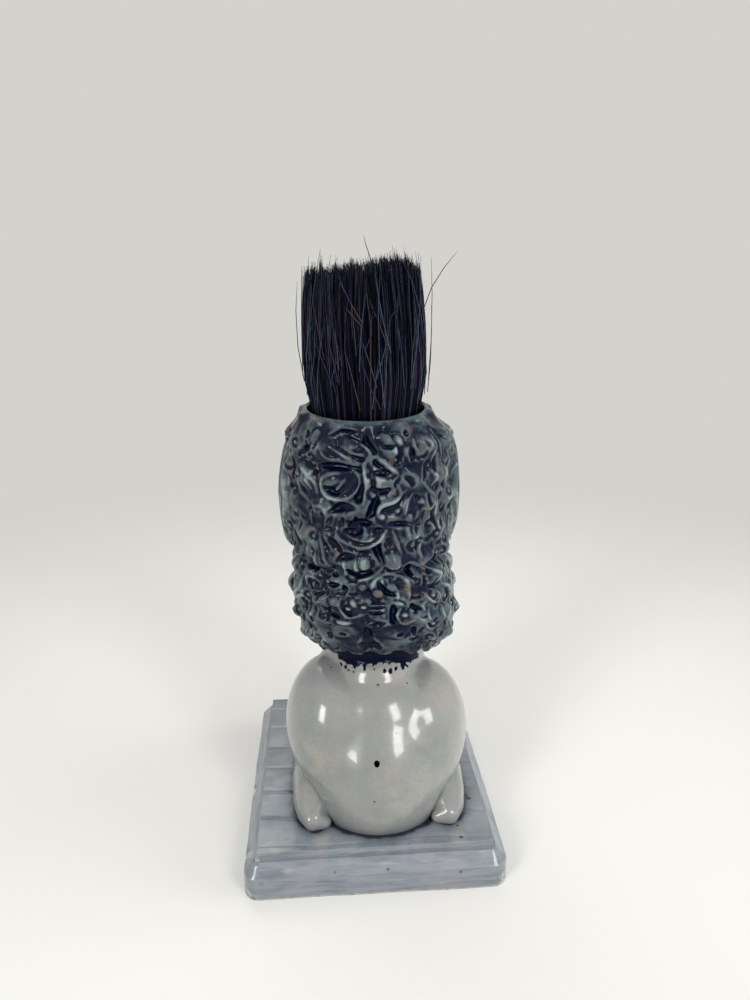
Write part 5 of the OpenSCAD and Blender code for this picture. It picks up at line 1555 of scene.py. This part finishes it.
# Pooled glaze and painted shade on the plinth round the body and the feet
poolShades = {
    "round": ("body", "left_hind_foot", "right_hind_foot", "left_foreleg", "right_foreleg"), "reach": 5.0,
    "steep": 1.7,
}


def poolShadeRound(mesh, values):
    points, reach = readPoints(mesh), values["reach"]
    nearest = np.full(len(points), reach)
    for name in values["round"]:
        bm = bmFrom(bpy.data.objects[name].data)
        tree = BVHTree.FromBMesh(bm)
        bm.free()
        for index in np.nonzero(points[:, 2] > slabTop - 1.5)[0]:
            found = tree.find_nearest(Vector(points[index]) * mm, reach * mm)
            if found[0] is not None:
                nearest[index] = min(nearest[index], found[3] / mm)
    storeMask(mesh, "poolShade", (1 - nearest / reach) ** values["steep"])


poolShadeRound(plinthMesh, poolShades)
print("pools made")


# Stage: a pale floor and plain soft light
stageSetup = {
    "floorSize": 6.0, "near": (239, 238, 233), "nearRadius": 0.07, "farRadius": 0.34,  # in metres
    "sky": (212, 210, 205), "skyLight": 0.33,
    # lamps: name, bearing from behind, height angle, distance, size across and up, and power
    "windows": [
        ("windowLeft", 42, 28, 0.8, 0.2, 0.36, 2.7), ("windowRight", -33, 34, 0.8, 0.18, 0.32, 1.9),
        ("sideRight", -84, 8, 0.9, 0.8, 0.6, 7.2), ("front", 165, 50, 0.9, 0.6, 0.5, 1.5),
    ],
    "unseen": ("sideRight",),  # leaves no gleam of its own
    "aim": (0.0, 0.0, 0.05), "overhead": 0.4, "overheadSpread": 100,
}


def fadeToSky(nodes, mask, first, sky):
    # first is seen where the mask is 0, and the colour of the sky where it is 1
    return nodes.add("MixShader", {0: mask, 1: first, 2: sky[0]})[0]


def seenDirectly(nodes):
    # 1 where the camera sees a surface, also through glass or in a gloss
    path = nodes.add("LightPath")
    direct = nodes.calc("MAXIMUM", path["Is Camera Ray"], path["Is Transmission Ray"])
    return nodes.calc("MAXIMUM", direct, path["Is Glossy Ray"])


def makeFloor(values):
    bm = bmesh.new()
    bmesh.ops.create_grid(bm, x_segments=1, y_segments=1, size=values["floorSize"] / 2)
    floor = show("floor", meshFrom(bm, "floor"))
    coat = Coat("floor", values, "near")
    floor.data.materials.append(coat.finish(0.9, {"Specular IOR Level": 0.1}))
    # far off, the floor is seen in the colour of the sky, so that no horizon shows
    rise = coat.stepUp(coat.distance(coat.spot, (0, 0, 0)), values["nearRadius"], values["farRadius"])
    glow = coat.add("Emission", {"Color": paint(values["sky"]), "Strength": 1.0})
    shader = coat.tree.nodes["Principled BSDF"].outputs[0]
    mixed = fadeToSky(coat, coat.times(rise, seenDirectly(coat)), shader, glow)
    coat.give(coat.tree.nodes["Material Output"].inputs["Surface"], mixed)


def makeSky(values):
    world = bpy.data.worlds.new("pale room")
    bpy.context.scene.world = world
    world.use_nodes = True
    world.node_tree.nodes.clear()
    nodes = Nodes(world.node_tree)
    light = nodes.add("Background", {"Color": (1, 1, 0.99, 1), "Strength": values["skyLight"]})
    shown = nodes.add("Background", {"Color": paint(values["sky"]), "Strength": 1.0})
    nodes.add("OutputWorld", {"Surface": fadeToSky(nodes, seenDirectly(nodes), light[0], shown)})


def makeLamps(values):
    for name, bearing, height, distance, wide, tall, power in values["windows"]:
        data = bpy.data.lights.new(name, "AREA")
        data.shape = "RECTANGLE"
        data.size = wide
        data.size_y = tall
        data.energy = power
        lamp = show(name, data)
        away = awayAt(bearing, height)
        standFacing(lamp, Vector(values["aim"]) + away * distance, away)
        lamp.visible_glossy = name not in values["unseen"]
    data = bpy.data.lights.new("overhead", "SUN")
    data.energy = values["overhead"]
    data.angle = math.radians(values["overheadSpread"])
    show("overhead", data)


makeFloor(stageSetup)
makeSky(stageSetup)
makeLamps(stageSetup)
print("stage made")
